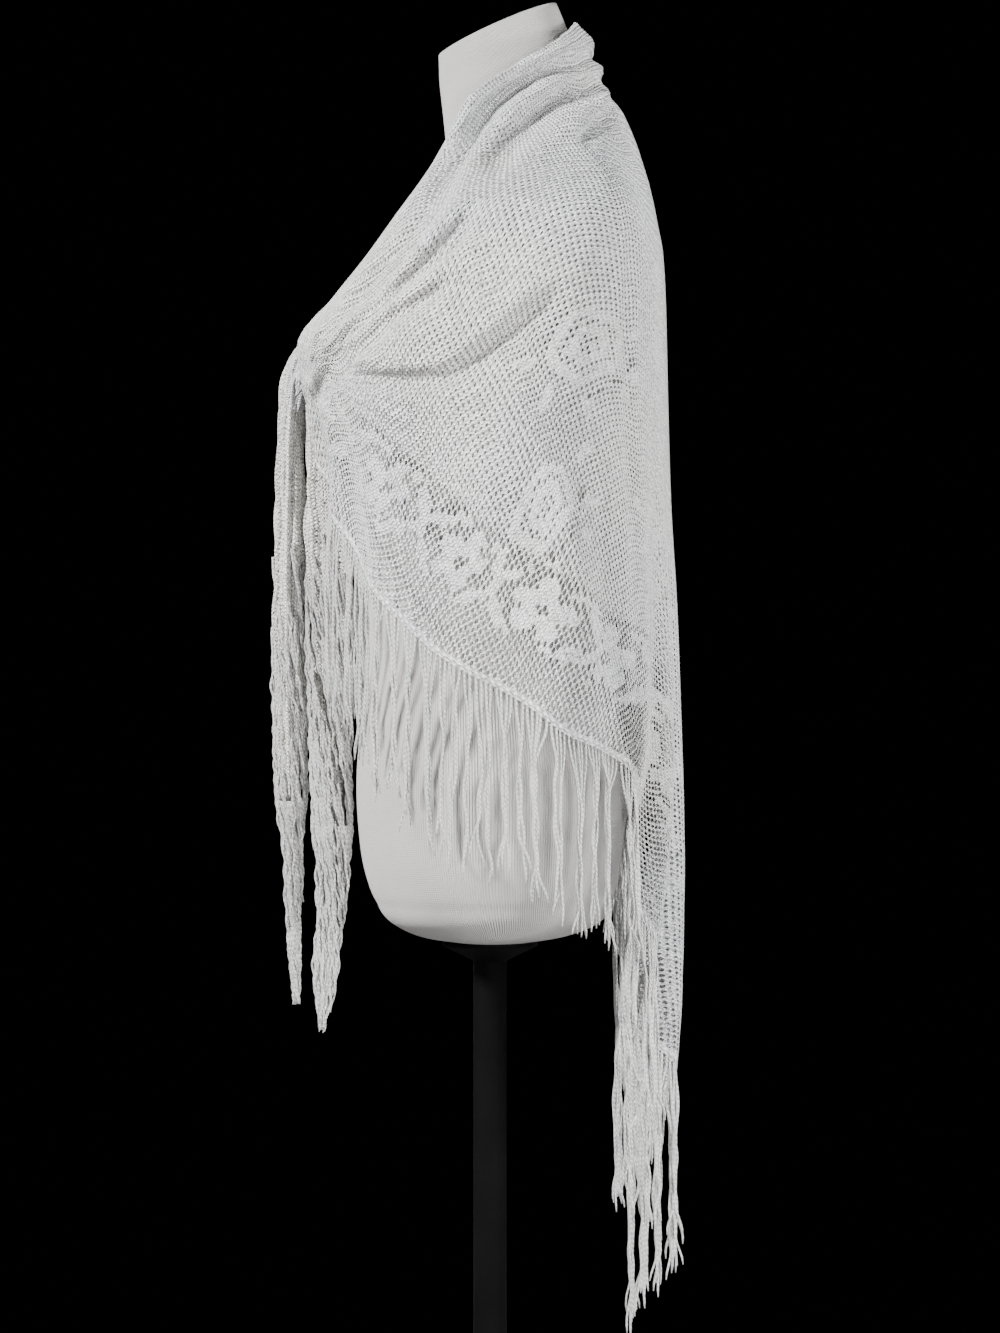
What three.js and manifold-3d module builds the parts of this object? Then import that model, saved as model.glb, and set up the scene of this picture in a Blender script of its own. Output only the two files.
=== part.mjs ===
// A triangular lace shawl with a long fringe, worn on a limbless dress form that stands on a plain
// pole and round base. Millimetres, +Z up, origin on the floor under the pole. The form faces -Y
// and its left side is +X. The cloth's side outline is the one of the form seen from +X.
import * as THREE from "three";
import { mergeVertices } from "three/addons/utils/BufferGeometryUtils.js";
import Module from "manifold-3d";

const wasm = await Module();
wasm.setup();

// Driving sizes.
const CLOTH = 2.0; // wall of the knitted lace
const SEAM = 0.55; // clear gap between pieces that touch on the real thing
const FRINGE = 150; // hanging length of a fringe strand
const STRAND_RADIUS = 1.15;
const STRIP_HEIGHT = 5; // knotted edge that the strands hang from
const STRIP_GAP = 1.1; // between that edge and the hem it was cut from
const BASE_RADIUS = 165;
const BASE_THICK = 10;
const BASE_BEVEL = 4;
const COLLAR_RADIUS = 21;
const COLLAR_TOP = 34;
const POLE_RADIUS = 12.5;
const POLE_FLANGE_RADIUS = 36;
const POLE_FLANGE = 5;
const FORM_BOTTOM = 345;
const KNOT = { y: -141, z: 765, halfX: 21.8, halfY: 13.5, halfZ: 25, lean: 4 };

// Sections of the dress form from its underside up: front and back points of the side outline,
// half width, and the squareness of the superellipse between them. The neck's sections lean.
const FORM_RINGS = [
  { yf: -30, zf: 345, yb: 34, zb: 345, half: 62, n: 2.1 },
  { yf: -53, zf: 349, yb: 60, zb: 350, half: 102, n: 2.1 },
  { yf: -69, zf: 356, yb: 80, zb: 358, half: 128, n: 2.15 },
  { yf: -81, zf: 367, yb: 89, zb: 368, half: 145, n: 2.2 },
  { yf: -90, zf: 385, yb: 95, zb: 385, half: 157, n: 2.2 },
  { yf: -97, zf: 415, yb: 100, zb: 415, half: 164, n: 2.2 },
  { yf: -100, zf: 460, yb: 103, zb: 460, half: 165, n: 2.2 },
  { yf: -97, zf: 510, yb: 97, zb: 510, half: 150, n: 2.2 },
  { yf: -91, zf: 565, yb: 87, zb: 565, half: 127, n: 2.2 },
  { yf: -92, zf: 620, yb: 90, zb: 620, half: 129, n: 2.2 },
  { yf: -99, zf: 680, yb: 100, zb: 680, half: 143, n: 2.25 },
  { yf: -107, zf: 740, yb: 111, zb: 740, half: 154, n: 2.3 },
  { yf: -105, zf: 785, yb: 117, zb: 785, half: 163, n: 2.35 },
  { yf: -93, zf: 825, yb: 119, zb: 825, half: 174, n: 2.4 },
  { yf: -79, zf: 855, yb: 118, zb: 855, half: 178, n: 2.4 },
  { yf: -67, zf: 878, yb: 114, zb: 878, half: 168.6, n: 2.35 },
  { yf: -57, zf: 894, yb: 110, zb: 894, half: 148.8, n: 2.3 },
  { yf: -47, zf: 908, yb: 105, zb: 909, half: 122.8, n: 2.2 },
  { yf: -39, zf: 922, yb: 99, zb: 926, half: 96, n: 2.1 },
  { yf: -33, zf: 938, yb: 91, zb: 950, half: 71, n: 2.05 },
  { yf: -35, zf: 962, yb: 79, zb: 980, half: 56, n: 2 },
  { yf: -38, zf: 990, yb: 63, zb: 1016, half: 48.5, n: 2 },
  { yf: -38.5, zf: 1008, yb: 50, zb: 1047, half: 47, n: 2 },
];
const FORM_SIDES = 34;
const BUST = { x: 68, z: 742, reach: 15, wide: 44, tall: 46 };

// Level sections of the draped cloth: depth in front of and behind the pole's axis, where the
// section is widest, half width, squareness, and how deep the hanging flutes of the back are.
const CAPE_RINGS = [
  { z: 187, front: 126, back: 134, mid: 0, half: 62, n: 2.3, flute: 15 },
  { z: 225, front: 126, back: 140, mid: 0, half: 78, n: 2.3, flute: 19 },
  { z: 300, front: 126, back: 145, mid: 0, half: 105, n: 2.3, flute: 20 },
  { z: 400, front: 126, back: 146, mid: 0, half: 142, n: 2.3, flute: 12 },
  { z: 450, front: 126, back: 145, mid: 0, half: 165, n: 2.3, flute: 9 },
  { z: 480, front: 126, back: 144, mid: 0, half: 180, n: 2.3, flute: 8 },
  { z: 525, front: 126, back: 142.5, mid: 0, half: 187, n: 2.3, flute: 6 },
  { z: 600, front: 126, back: 139.5, mid: 0, half: 188, n: 2.3, flute: 3.5 },
  { z: 675, front: 126, back: 135, mid: 0, half: 190, n: 2.3, flute: 1 },
  { z: 742, front: 134, back: 133, mid: 0, half: 191, n: 2.3, flute: 0 },
  { z: 787, front: 142, back: 132, mid: 2, half: 190.5, n: 2.3, flute: 0 },
  { z: 825, front: 114, back: 131, mid: 8, half: 188, n: 2.35, flute: 0 },
  { z: 858, front: 88, back: 129, mid: 14, half: 183.5, n: 2.35, flute: 0 },
  { z: 880, front: 72, back: 125, mid: 19, half: 173, n: 2.35, flute: 0 },
  { z: 896, front: 61, back: 122, mid: 24, half: 154, n: 2.3, flute: 0 },
  { z: 910, front: 52, back: 119, mid: 28, half: 131, n: 2.2, flute: 0 },
  { z: 924, front: 45, back: 115, mid: 29, half: 107, n: 2.1, flute: 0 },
  { z: 940, front: 41, back: 110, mid: 29, half: 85, n: 2.05, flute: 0 },
  { z: 962, front: 40, back: 101, mid: 24, half: 68, n: 2, flute: 0 },
  { z: 990, front: 42, back: 88, mid: 18, half: 60, n: 2, flute: 0 },
  { z: 1012, front: 43, back: 76, mid: 14, half: 56, n: 2, flute: 0 },
  { z: 1034, front: 44, back: 64, mid: 10, half: 53, n: 2, flute: 0 },
];
const FLUTE_PITCH = { left: 50, right: 46 };
const FLUTES_START = 98; // degrees round from the front
const FLUTES_FULL = 135;
const HEM_WAVE = 4;
const HEM_WAVE_REACH = 170; // above the hem
const HEM_WAVE_TURN = { left: 21, right: 19 }; // degrees from wave to wave
const CALM_FRONT = 22; // degrees: the ridges rise from the knot to here
const CALM_BACK = 165;
const FAR_RIDGE_SHIFT = 7; // the right side's ridges lie this much lower

// The cloth's two edges by the angle round each section's middle, 0 in front and 180 behind: the
// folded neck edge and the fringed hem.
const EDGES = [
  { angle: 8.6, neck: 795, hem: 740 },
  { angle: 14.7, neck: 845, hem: 718 },
  { angle: 23.3, neck: 883, hem: 697 },
  { angle: 33, neck: 917, hem: 677 },
  { angle: 41, neck: 934, hem: 660 },
  { angle: 48, neck: 946, hem: 645 },
  { angle: 59.3, neck: 965, hem: 612 },
  { angle: 66, neck: 972, hem: 592 },
  { angle: 77, neck: 981, hem: 562 },
  { angle: 85.6, neck: 988, hem: 545 },
  { angle: 97, neck: 997, hem: 525 },
  { angle: 108, neck: 1004, hem: 500 },
  { angle: 117, neck: 1010, hem: 491 },
  { angle: 127, neck: 1015, hem: 477 },
  { angle: 132, neck: 1018, hem: 440 },
  { angle: 139, neck: 1021, hem: 400 },
  { angle: 156, neck: 1028, hem: 300 },
  { angle: 168, neck: 1031, hem: 257 },
  { angle: 180, neck: 1033, hem: 187 },
];

// Soft ridges between the main creases, as lines in the side view through three points: they fan
// from the knot to the neck and the shoulder, ride round the neck, or stand in the hanging back.
const RIDGES = [
  { y0: 72, z0: 1022, y1: -8, z1: 962, y2: -88, z2: 848, wide: 5, high: 3 },
  { y0: 88, z0: 1002, y1: -2, z1: 922, y2: -112, z2: 785, wide: 10, high: 5 },
  { y0: 97, z0: 985, y1: 58, z1: 948, y2: 0, z2: 905, wide: 9, high: 3.5 },
  { y0: 60, z0: 880, y1: -10, z1: 848, y2: -112, z2: 777, wide: 9, high: 5 },
  { y0: 60, z0: 838, y1: -20, z1: 798, y2: -116, z2: 757, wide: 11, high: 5 },
  { y0: 75, z0: 790, y1: 20, z1: 755, y2: -90, z2: 740, wide: 13, high: 4 },
  { y0: 84, z0: 700, y1: 98, z1: 600, y2: 108, z2: 490, wide: 13, high: 5 },
];

// Gathered front ends that hang from the knot: centre, half width, pleat depth of each section.
const END_PLEATS = 3;
const END_WALL = 1; // a single layer, drawn tight by its gathers
const FRONT_END = [
  { z: 739.4, x: -6, y: -146.5, half: 13, deep: 4.5 },
  { z: 705, x: -9, y: -151.5, half: 18, deep: 8 },
  { z: 600, x: -9, y: -153, half: 20, deep: 9.5 },
  { z: 510, x: -9, y: -151.5, half: 16, deep: 10.5 },
  { z: 452, x: -9, y: -149.5, half: 8, deep: 8 },
];
const FRONT_BUNCH_Y = -148; // where its fringe hangs
const BACK_BUNCH_Y = -119;
const BACK_END = [
  { z: 739.4, x: 6, y: -136, half: 11, deep: 3.5 },
  { z: 700, x: 5, y: -121, half: 14, deep: 7 },
  { z: 600, x: 4, y: -114, half: 15, deep: 9 },
  { z: 490, x: 4, y: -115, half: 13, deep: 9.5 },
  { z: 428, x: 4, y: -117, half: 7, deep: 8 },
];

const COLOURS = {
  cloth: { color: 0xe9e8e4, roughness: 0.62, metalness: 0 },
  jersey: { color: 0xd9d6d1, roughness: 0.9, metalness: 0 },
  paint: { color: 0x1d1d1f, roughness: 0.5, metalness: 0 },
};

const radians = THREE.MathUtils.degToRad;
const mix = THREE.MathUtils.lerp;
const smooth = THREE.MathUtils.smoothstep;

// Value of a table's column at a key, by a monotone cubic through the rows.
function along(rows, key, at, column) {
  const last = rows.length - 1;
  const x = THREE.MathUtils.clamp(at, rows[0][key], rows[last][key]);
  let i = 0;
  while (i < last - 1 && rows[i + 1][key] < x) i++;
  const rise = (k) => {
    if (k < 0 || k >= last) return null;
    return (rows[k + 1][column] - rows[k][column]) / (rows[k + 1][key] - rows[k][key]);
  };
  const slope = (k) => {
    const before = rise(k - 1);
    const after = rise(k);
    if (before === null || after === null) return before === null ? after : before;
    return before * after <= 0 ? 0 : (2 * before * after) / (before + after);
  };
  const width = rows[i + 1][key] - rows[i][key];
  const t = (x - rows[i][key]) / width;
  const t2 = t * t;
  const t3 = t2 * t;
  return (
    (2 * t3 - 3 * t2 + 1) * rows[i][column] +
    (t3 - 2 * t2 + t) * width * slope(i) +
    (3 * t2 - 2 * t3) * rows[i + 1][column] +
    (t3 - t2) * width * slope(i + 1)
  );
}

// The same number each run for the same seed, from 0 to 1.
function chance(seed) {
  const wave = Math.sin(seed * 127.1 + 11.7) * 43758.5453;
  return wave - Math.floor(wave);
}

// Closed solid through rings of equally many points, counter-clockwise seen from the last ring,
// with a fan of triangles over each end.
function loft(rings) {
  const sides = rings[0].length;
  const points = rings.flat();
  const middle = (ring) =>
    ring.reduce((sum, p) => sum.add(p), new THREE.Vector3()).divideScalar(sides);
  points.push(middle(rings[0]), middle(rings[rings.length - 1]));
  const faces = [];
  for (let r = 0; r < rings.length - 1; r++)
    for (let s = 0; s < sides; s++) {
      const a = r * sides + s;
      const b = r * sides + ((s + 1) % sides);
      faces.push(a, b, b + sides, a, b + sides, a + sides);
    }
  const top = (rings.length - 1) * sides;
  for (let s = 0; s < sides; s++) {
    const t = (s + 1) % sides;
    faces.push(points.length - 2, t, s, points.length - 1, top + s, top + t);
  }
  return geometryOf(points, faces);
}

function geometryOf(points, faces) {
  const geometry = new THREE.BufferGeometry().setFromPoints(points);
  geometry.setIndex(faces);
  return geometry;
}

// A wall between an outer and an inner sheet, each a list of rows of points, closed at its rim.
function wall(outer, inner) {
  const rows = outer.length;
  const columns = outer[0].length;
  const points = [...outer.flat(), ...inner.flat()];
  const at = (sheet, r, c) => sheet * rows * columns + r * columns + c;
  const faces = [];
  const quad = (a, b, c, d) => faces.push(a, b, c, a, c, d);
  for (let r = 0; r < rows - 1; r++)
    for (let c = 0; c < columns - 1; c++) {
      quad(at(0, r, c), at(0, r + 1, c), at(0, r + 1, c + 1), at(0, r, c + 1));
      quad(at(1, r, c), at(1, r, c + 1), at(1, r + 1, c + 1), at(1, r + 1, c));
    }
  for (let r = 0; r < rows - 1; r++) {
    quad(at(0, r, 0), at(1, r, 0), at(1, r + 1, 0), at(0, r + 1, 0));
    const e = columns - 1;
    quad(at(0, r, e), at(0, r + 1, e), at(1, r + 1, e), at(1, r, e));
  }
  for (let c = 0; c < columns - 1; c++) {
    quad(at(0, 0, c), at(0, 0, c + 1), at(1, 0, c + 1), at(1, 0, c));
    const e = rows - 1;
    quad(at(0, e, c), at(1, e, c), at(1, e, c + 1), at(0, e, c + 1));
  }
  return geometryOf(points, faces);
}

function toSolid(geometry) {
  const merged = mergeVertices(geometry, 1e-3);
  return new wasm.Manifold(
    new wasm.Mesh({
      numProp: 3,
      vertProperties: merged.attributes.position.array,
      triVerts: new Uint32Array(merged.index.array),
    }),
  );
}

function fromSolid(solid) {
  const mesh = solid.getMesh();
  const geometry = new THREE.BufferGeometry();
  geometry.setAttribute("position", new THREE.BufferAttribute(mesh.vertProperties, 3));
  geometry.setIndex(new THREE.BufferAttribute(mesh.triVerts, 1));
  return geometry;
}

const shawlOnForm = new THREE.Group();
function add(name, geometry, look) {
  geometry.computeVertexNormals();
  const mesh = new THREE.Mesh(geometry, new THREE.MeshStandardMaterial(look));
  mesh.name = name;
  shawlOnForm.add(mesh);
}

// Dress form: torso and leaning neck in one smooth closed body.
function formGeometry() {
  const rings = FORM_RINGS.map((ring) => {
    const points = [];
    const middleY = (ring.yf + ring.yb) / 2;
    const middleZ = (ring.zf + ring.zb) / 2;
    for (let s = 0; s < FORM_SIDES; s++) {
      const turn = (2 * Math.PI * s) / FORM_SIDES;
      const across = Math.sign(Math.sin(turn)) * Math.abs(Math.sin(turn)) ** (2 / ring.n);
      const deep = Math.sign(Math.cos(turn)) * Math.abs(Math.cos(turn)) ** (2 / ring.n);
      const x = -ring.half * across;
      let y = middleY - ((ring.yb - ring.yf) / 2) * deep;
      const z = middleZ - ((ring.zb - ring.zf) / 2) * deep;
      if (deep > 0) {
        const aside = (Math.abs(x) - BUST.x) / BUST.wide;
        const above = (z - BUST.z) / BUST.tall;
        y -= BUST.reach * deep * Math.exp(-aside * aside - above * above);
      }
      points.push(new THREE.Vector3(x, y, z));
    }
    return points.reverse();
  });
  return loft(rings);
}

// Pole under the form, with a flange that carries it.
function poleGeometry() {
  const foot = BASE_THICK + SEAM;
  const top = FORM_BOTTOM - SEAM;
  const profile = [
    [0, foot],
    [POLE_RADIUS, foot],
    [POLE_RADIUS, top - 3 * POLE_FLANGE],
    [POLE_FLANGE_RADIUS - 3, top - POLE_FLANGE],
    [POLE_FLANGE_RADIUS, top - 0.7 * POLE_FLANGE],
    [POLE_FLANGE_RADIUS, top],
    [0, top],
  ];
  return turned(profile, 24);
}

// Round base with a socket for the pole.
function baseGeometry() {
  const bore = POLE_RADIUS + SEAM;
  const profile = [
    [0, 0],
    [BASE_RADIUS, 0],
    [BASE_RADIUS, BASE_THICK - BASE_BEVEL],
    [BASE_RADIUS - BASE_BEVEL, BASE_THICK],
    [COLLAR_RADIUS + BASE_BEVEL, BASE_THICK],
    [COLLAR_RADIUS, BASE_THICK + BASE_BEVEL],
    [COLLAR_RADIUS, COLLAR_TOP],
    [bore, COLLAR_TOP],
    [bore, BASE_THICK],
    [0, BASE_THICK],
  ];
  return turned(profile, 40);
}

// A profile of [radius, height] pairs turned round the Z axis.
function turned(profile, sides) {
  const points = profile.map(([radius, height]) => new THREE.Vector2(radius, height));
  const geometry = new THREE.LatheGeometry(points, sides);
  geometry.deleteAttribute("uv");
  geometry.deleteAttribute("normal");
  return mergeVertices(geometry.rotateX(Math.PI / 2), 1e-3);
}

// How far a ridge lifts the cloth at a point of the side view.
function ridgeLift(ridge, y, z) {
  const steps = 16;
  let nearest = Infinity;
  let share = 0;
  for (let i = 0; i <= steps; i++) {
    const t = i / steps;
    const a = (1 - t) * (1 - 2 * t);
    const b = 4 * t * (1 - t);
    const c = t * (2 * t - 1);
    const lineY = a * ridge.y0 + b * ridge.y1 + c * ridge.y2;
    const lineZ = a * ridge.z0 + b * ridge.z1 + c * ridge.z2;
    const gap = Math.hypot(y - lineY, z - lineZ);
    if (gap < nearest) {
      nearest = gap;
      share = t;
    }
  }
  const fade = 0.3 + 0.7 * Math.sin(Math.PI * (0.1 + 0.75 * share));
  return ridge.high * fade * Math.exp(-((nearest / ridge.wide) ** 2));
}

// A point of the cloth's outer face: side 1 is the form's left, angle in degrees round the middle.
function capePoint(side, angle, z) {
  const ring = {};
  for (const column of ["front", "back", "mid", "half", "n", "flute"])
    ring[column] = along(CAPE_RINGS, "z", z, column);
  const turn = radians(angle);
  const depth = Math.cos(turn) > 0 ? ring.front + ring.mid : ring.back - ring.mid;
  const across = Math.abs(Math.sin(turn)) / ring.half;
  const deep = Math.abs(Math.cos(turn)) / depth;
  let radius = (across ** ring.n + deep ** ring.n) ** (-1 / ring.n);
  const x = radius * Math.sin(turn);
  const y = ring.mid - radius * Math.cos(turn);
  const hand = side > 0 ? "left" : "right";
  const behind = smooth(angle, FLUTES_START, FLUTES_FULL);
  radius -= behind * ring.flute * (1 + Math.cos((2 * Math.PI * x) / FLUTE_PITCH[hand]));
  const hem = along(EDGES, "angle", angle, "hem");
  const low = smooth(hem + HEM_WAVE_REACH - z, 0, HEM_WAVE_REACH) * (1 - behind);
  radius += HEM_WAVE * low * Math.cos((2 * Math.PI * angle) / HEM_WAVE_TURN[hand]);
  const calm = smooth(angle, EDGES[0].angle, CALM_FRONT) * (1 - 0.4 * smooth(angle, CALM_BACK, 180));
  const shift = side > 0 ? 0 : FAR_RIDGE_SHIFT;
  radius += calm * Math.max(...RIDGES.map((ridge) => ridgeLift(ridge, y, z + shift)));
  return new THREE.Vector3(side * radius * Math.sin(turn), ring.mid - radius * Math.cos(turn), z);
}

// The face's outward direction there, from its neighbours.
function capeNormal(side, angle, z) {
  const round = capePoint(side, Math.min(angle + 0.5, 180), z).sub(
    capePoint(side, angle - 0.5, z),
  );
  const up = capePoint(side, angle, z + 1).sub(capePoint(side, angle, z - 1));
  const normal = round.cross(up).multiplyScalar(side).normalize();
  if (angle > 179.9) normal.setX(0).normalize();
  return normal;
}

// Stations round the cloth, closer behind, where the flutes hang, and down it, closer at the neck.
const FRONT_STATIONS = 15;
const BACK_STATIONS = 17;
const BACK_STATIONS_FROM = 118;
const DOWN_STATIONS = 21;
const DOWN_CROWDING = 1.35; // over 1 crowds the rows towards the neck edge
function stationAngles() {
  const first = EDGES[0].angle;
  const angles = [];
  for (let i = 0; i < FRONT_STATIONS; i++)
    angles.push(mix(first, BACK_STATIONS_FROM, i / FRONT_STATIONS));
  for (let i = 0; i <= BACK_STATIONS; i++)
    angles.push(mix(BACK_STATIONS_FROM, 180, i / BACK_STATIONS));
  return angles;
}

// The cloth's three stretches, each a run of columns: over each shoulder, and the hanging back
// between them. A column on the line between two stretches is held back by half the seam.
function sideColumns(side) {
  const angles = stationAngles().slice(0, FRONT_STATIONS + 1);
  const columns = angles.map((angle, i) => ({ side, angle, back: i === FRONT_STATIONS ? -1 : 0 }));
  return side > 0 ? columns : columns.reverse();
}

function backColumns() {
  const angles = stationAngles().slice(FRONT_STATIONS);
  const left = angles.map((angle, i) => ({ side: 1, angle, back: i === 0 ? 1 : 0 }));
  const right = angles.map((angle, i) => ({ side: -1, angle, back: i === 0 ? 1 : 0 }));
  return [...left, ...right.slice(0, -1).reverse()];
}

function capeGeometry(columns) {
  const outer = [];
  const inner = [];
  for (let r = 0; r <= DOWN_STATIONS; r++) {
    const share = (r / DOWN_STATIONS) ** DOWN_CROWDING;
    const outerRow = [];
    const innerRow = [];
    for (const { side, angle, back } of columns) {
      const neck = along(EDGES, "angle", angle, "neck");
      const hem = along(EDGES, "angle", angle, "hem");
      const z = mix(neck, hem, share);
      const onLine = capePoint(side, angle, z);
      const heldBack = THREE.MathUtils.radToDeg((back * SEAM) / 2 / Math.hypot(onLine.x, onLine.y));
      const point = capePoint(side, angle + heldBack, z);
      outerRow.push(point);
      innerRow.push(point.clone().addScaledVector(capeNormal(side, angle, z), -CLOTH));
    }
    outer.push(outerRow);
    inner.push(innerRow);
  }
  return wall(outer, inner);
}

// One strand: a three-sided taper along a list of points, one side square to the cloth's face.
function strandSolid(path, face) {
  const rings = path.map((point, i) => {
    const radius = STRAND_RADIUS * (i === path.length - 1 ? 0.6 : 1);
    const ring = [];
    for (let s = 0; s < 3; s++) {
      const turn = face + (2 * Math.PI * s) / 3;
      ring.push(
        new THREE.Vector3(
          point.x + radius * Math.cos(turn),
          point.y + radius * Math.sin(turn),
          point.z,
        ),
      );
    }
    return ring.reverse();
  });
  return toSolid(loftFlat(rings));
}

// As loft(), with plain three-sided ends and no middle points.
function loftFlat(rings) {
  const points = rings.flat();
  const faces = [];
  for (let r = 0; r < rings.length - 1; r++)
    for (let s = 0; s < 3; s++) {
      const a = r * 3 + s;
      const b = r * 3 + ((s + 1) % 3);
      faces.push(a, b, b + 3, a, b + 3, a + 3);
    }
  const top = (rings.length - 1) * 3;
  faces.push(2, 1, 0, top, top + 1, top + 2);
  return geometryOf(points, faces);
}

// A hanging strand from its root, with a small bend of its own.
function hangingPath(root, seed) {
  const length = FRINGE * mix(0.93, 1.03, chance(seed));
  const sway = mix(-1, 1, chance(seed + 0.37));
  return [0, 0.5, 1].map(
    (down) =>
      new THREE.Vector3(root.x + 0.5 * sway * down, root.y + sway * down, root.z - length * down),
  );
}

// Fringe of one long edge: a strip in line with the cloth just past its hem, and strands that
// hang from it. It starts where the cloth has left the knot.
const HEM_STRANDS = 62;
const HEM_FIRST_ANGLE = 15;
const HEM_LAST_ANGLE = 179.2;
function hemFringe(side) {
  const stations = stationAngles();
  const hemPoint = (angle, depth) => {
    const hem = along(EDGES, "angle", angle, "hem");
    const point = capePoint(side, angle, hem);
    return point.addScaledVector(capeNormal(side, angle, hem), -depth);
  };
  const at = (angle, depth) => {
    let i = 1;
    while (i < stations.length - 1 && stations[i] < angle) i++;
    const share = (angle - stations[i - 1]) / (stations[i] - stations[i - 1]);
    return hemPoint(stations[i - 1], depth).lerp(hemPoint(stations[i], depth), share);
  };
  const inside = stations.filter((a) => a > HEM_FIRST_ANGLE && a < HEM_LAST_ANGLE);
  const corners = [HEM_FIRST_ANGLE, ...inside, HEM_LAST_ANGLE].map((angle) => {
    const hem = along(EDGES, "angle", angle, "hem");
    const normal = capeNormal(side, angle, hem);
    const tangent = at(Math.min(angle + 0.6, 180), 0).sub(at(angle - 0.6, 0));
    const away = tangent.cross(normal).multiplyScalar(side).normalize();
    return { outer: at(angle, 0), inner: at(angle, CLOTH), normal, away };
  });
  const row = (depth, past) =>
    corners.map((c) =>
      c.outer.clone().lerp(c.inner, depth / CLOTH).addScaledVector(c.away, past),
    );
  const outer = [row(0, STRIP_GAP), row(0, STRIP_GAP + STRIP_HEIGHT)];
  const inner = [row(CLOTH, STRIP_GAP), row(CLOTH, STRIP_GAP + STRIP_HEIGHT)];
  const strip = side > 0 ? wall(outer, inner) : wall(outer.map(reversed), inner.map(reversed));
  const middle = row(CLOTH / 2 - 0.25 * STRAND_RADIUS, STRIP_GAP + 0.6 * STRIP_HEIGHT);
  const lengths = [0];
  for (let i = 1; i < middle.length; i++)
    lengths.push(lengths[i - 1] + middle[i].distanceTo(middle[i - 1]));
  const whole = lengths[lengths.length - 1];
  const parts = [toSolid(strip)];
  for (let k = 0; k < HEM_STRANDS; k++) {
    const reach = whole * mix(0.006, 0.994, k / (HEM_STRANDS - 1));
    let i = 1;
    while (lengths[i] < reach) i++;
    const share = (reach - lengths[i - 1]) / (lengths[i] - lengths[i - 1]);
    const root = middle[i - 1].clone().lerp(middle[i], share);
    const face = Math.atan2(corners[i].normal.y, corners[i].normal.x) + Math.PI;
    parts.push(strandSolid(hangingPath(root, 3 * k + (side > 0 ? 1 : 400)), face));
  }
  return fromSolid(wasm.Manifold.union(parts));
}

function reversed(row) {
  return [...row].reverse();
}

// A point of a gathered front end, across its pleats (0 to 1) at a height.
function endPoint(rows, across, z) {
  const half = along(rows, "z", z, "half");
  const deep = along(rows, "z", z, "deep");
  const x = along(rows, "z", z, "x") + half * (2 * across - 1);
  const y = along(rows, "z", z, "y") + deep * Math.cos(2 * Math.PI * END_PLEATS * across);
  return new THREE.Vector3(x, y, z);
}

const END_ACROSS = 28;
const END_DOWN = 8;
function endGeometry(rows) {
  const ordered = [...rows].reverse();
  const outer = [];
  const inner = [];
  for (let r = 0; r <= END_DOWN; r++) {
    const z = mix(rows[0].z, rows[rows.length - 1].z, r / END_DOWN);
    const outerRow = [];
    const innerRow = [];
    for (let c = 0; c < END_ACROSS; c++) {
      const across = c / (END_ACROSS - 1);
      const point = endPoint(ordered, across, z);
      const slope = endPoint(ordered, Math.min(across + 0.01, 1), z).sub(
        endPoint(ordered, Math.max(across - 0.01, 0), z),
      );
      const normal = new THREE.Vector3(slope.y, -slope.x, 0).normalize();
      outerRow.push(point.clone().addScaledVector(normal, END_WALL / 2));
      innerRow.push(point.clone().addScaledVector(normal, -END_WALL / 2));
    }
    outer.push(outerRow);
    inner.push(innerRow);
  }
  return wall(outer, inner);
}

// Fringe down the open edge of a gathered end: an upright strip beside it, with strands that leave
// it outward and hang in a loose bunch of rows and lanes, the outermost lanes from the top.
const END_STRANDS = 22;
const BUNCH_ROWS = 5;
const BUNCH_PITCH = 2.7;
const BUNCH_CLEAR = 3.4;
const BUNCH_TURN = 20; // drop in which a strand reaches its lane
const END_STRIP = { gap: 1.3, wide: 2.4, half: 1.1, below: 24, pieces: 7 };
function endFringe(rows, outward, bunchY, seed) {
  const ordered = [...rows].reverse();
  const edge = outward > 0 ? 1 : 0;
  const top = rows[0].z - END_STRIP.below;
  const bottom = rows[rows.length - 1].z + 1;
  const rings = [];
  for (let i = 0; i <= END_STRIP.pieces; i++) {
    const z = mix(bottom, top, i / END_STRIP.pieces);
    const point = endPoint(ordered, edge, z);
    const x0 = point.x + outward * END_STRIP.gap;
    const x1 = x0 + outward * END_STRIP.wide;
    const low = Math.min(x0, x1);
    const high = Math.max(x0, x1);
    rings.push([
      new THREE.Vector3(low, point.y - END_STRIP.half, z),
      new THREE.Vector3(high, point.y - END_STRIP.half, z),
      new THREE.Vector3(high, point.y + END_STRIP.half, z),
      new THREE.Vector3(low, point.y + END_STRIP.half, z),
    ]);
  }
  const parts = [toSolid(loft(rings))];
  for (let k = 0; k < END_STRANDS; k++) {
    const z = mix(top - 4, bottom + 3, (k + 0.5) / END_STRANDS);
    const point = endPoint(ordered, edge, z);
    const rootX = point.x + outward * (END_STRIP.gap + 0.6 * END_STRIP.wide);
    const row = (k % BUNCH_ROWS) - (BUNCH_ROWS - 1) / 2;
    const lane = BUNCH_ROWS - 1 - Math.floor(k / BUNCH_ROWS);
    const x = rootX + outward * (BUNCH_CLEAR + BUNCH_PITCH * lane);
    const y = bunchY + BUNCH_PITCH * row;
    const length = FRINGE * mix(0.94, 1.04, chance(seed + k));
    const path = [
      new THREE.Vector3(rootX, point.y, z),
      new THREE.Vector3(x, y, z - BUNCH_TURN),
      new THREE.Vector3(x, y, z - length),
    ];
    parts.push(strandSolid(path, 0));
  }
  return fromSolid(wasm.Manifold.union(parts));
}

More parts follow.
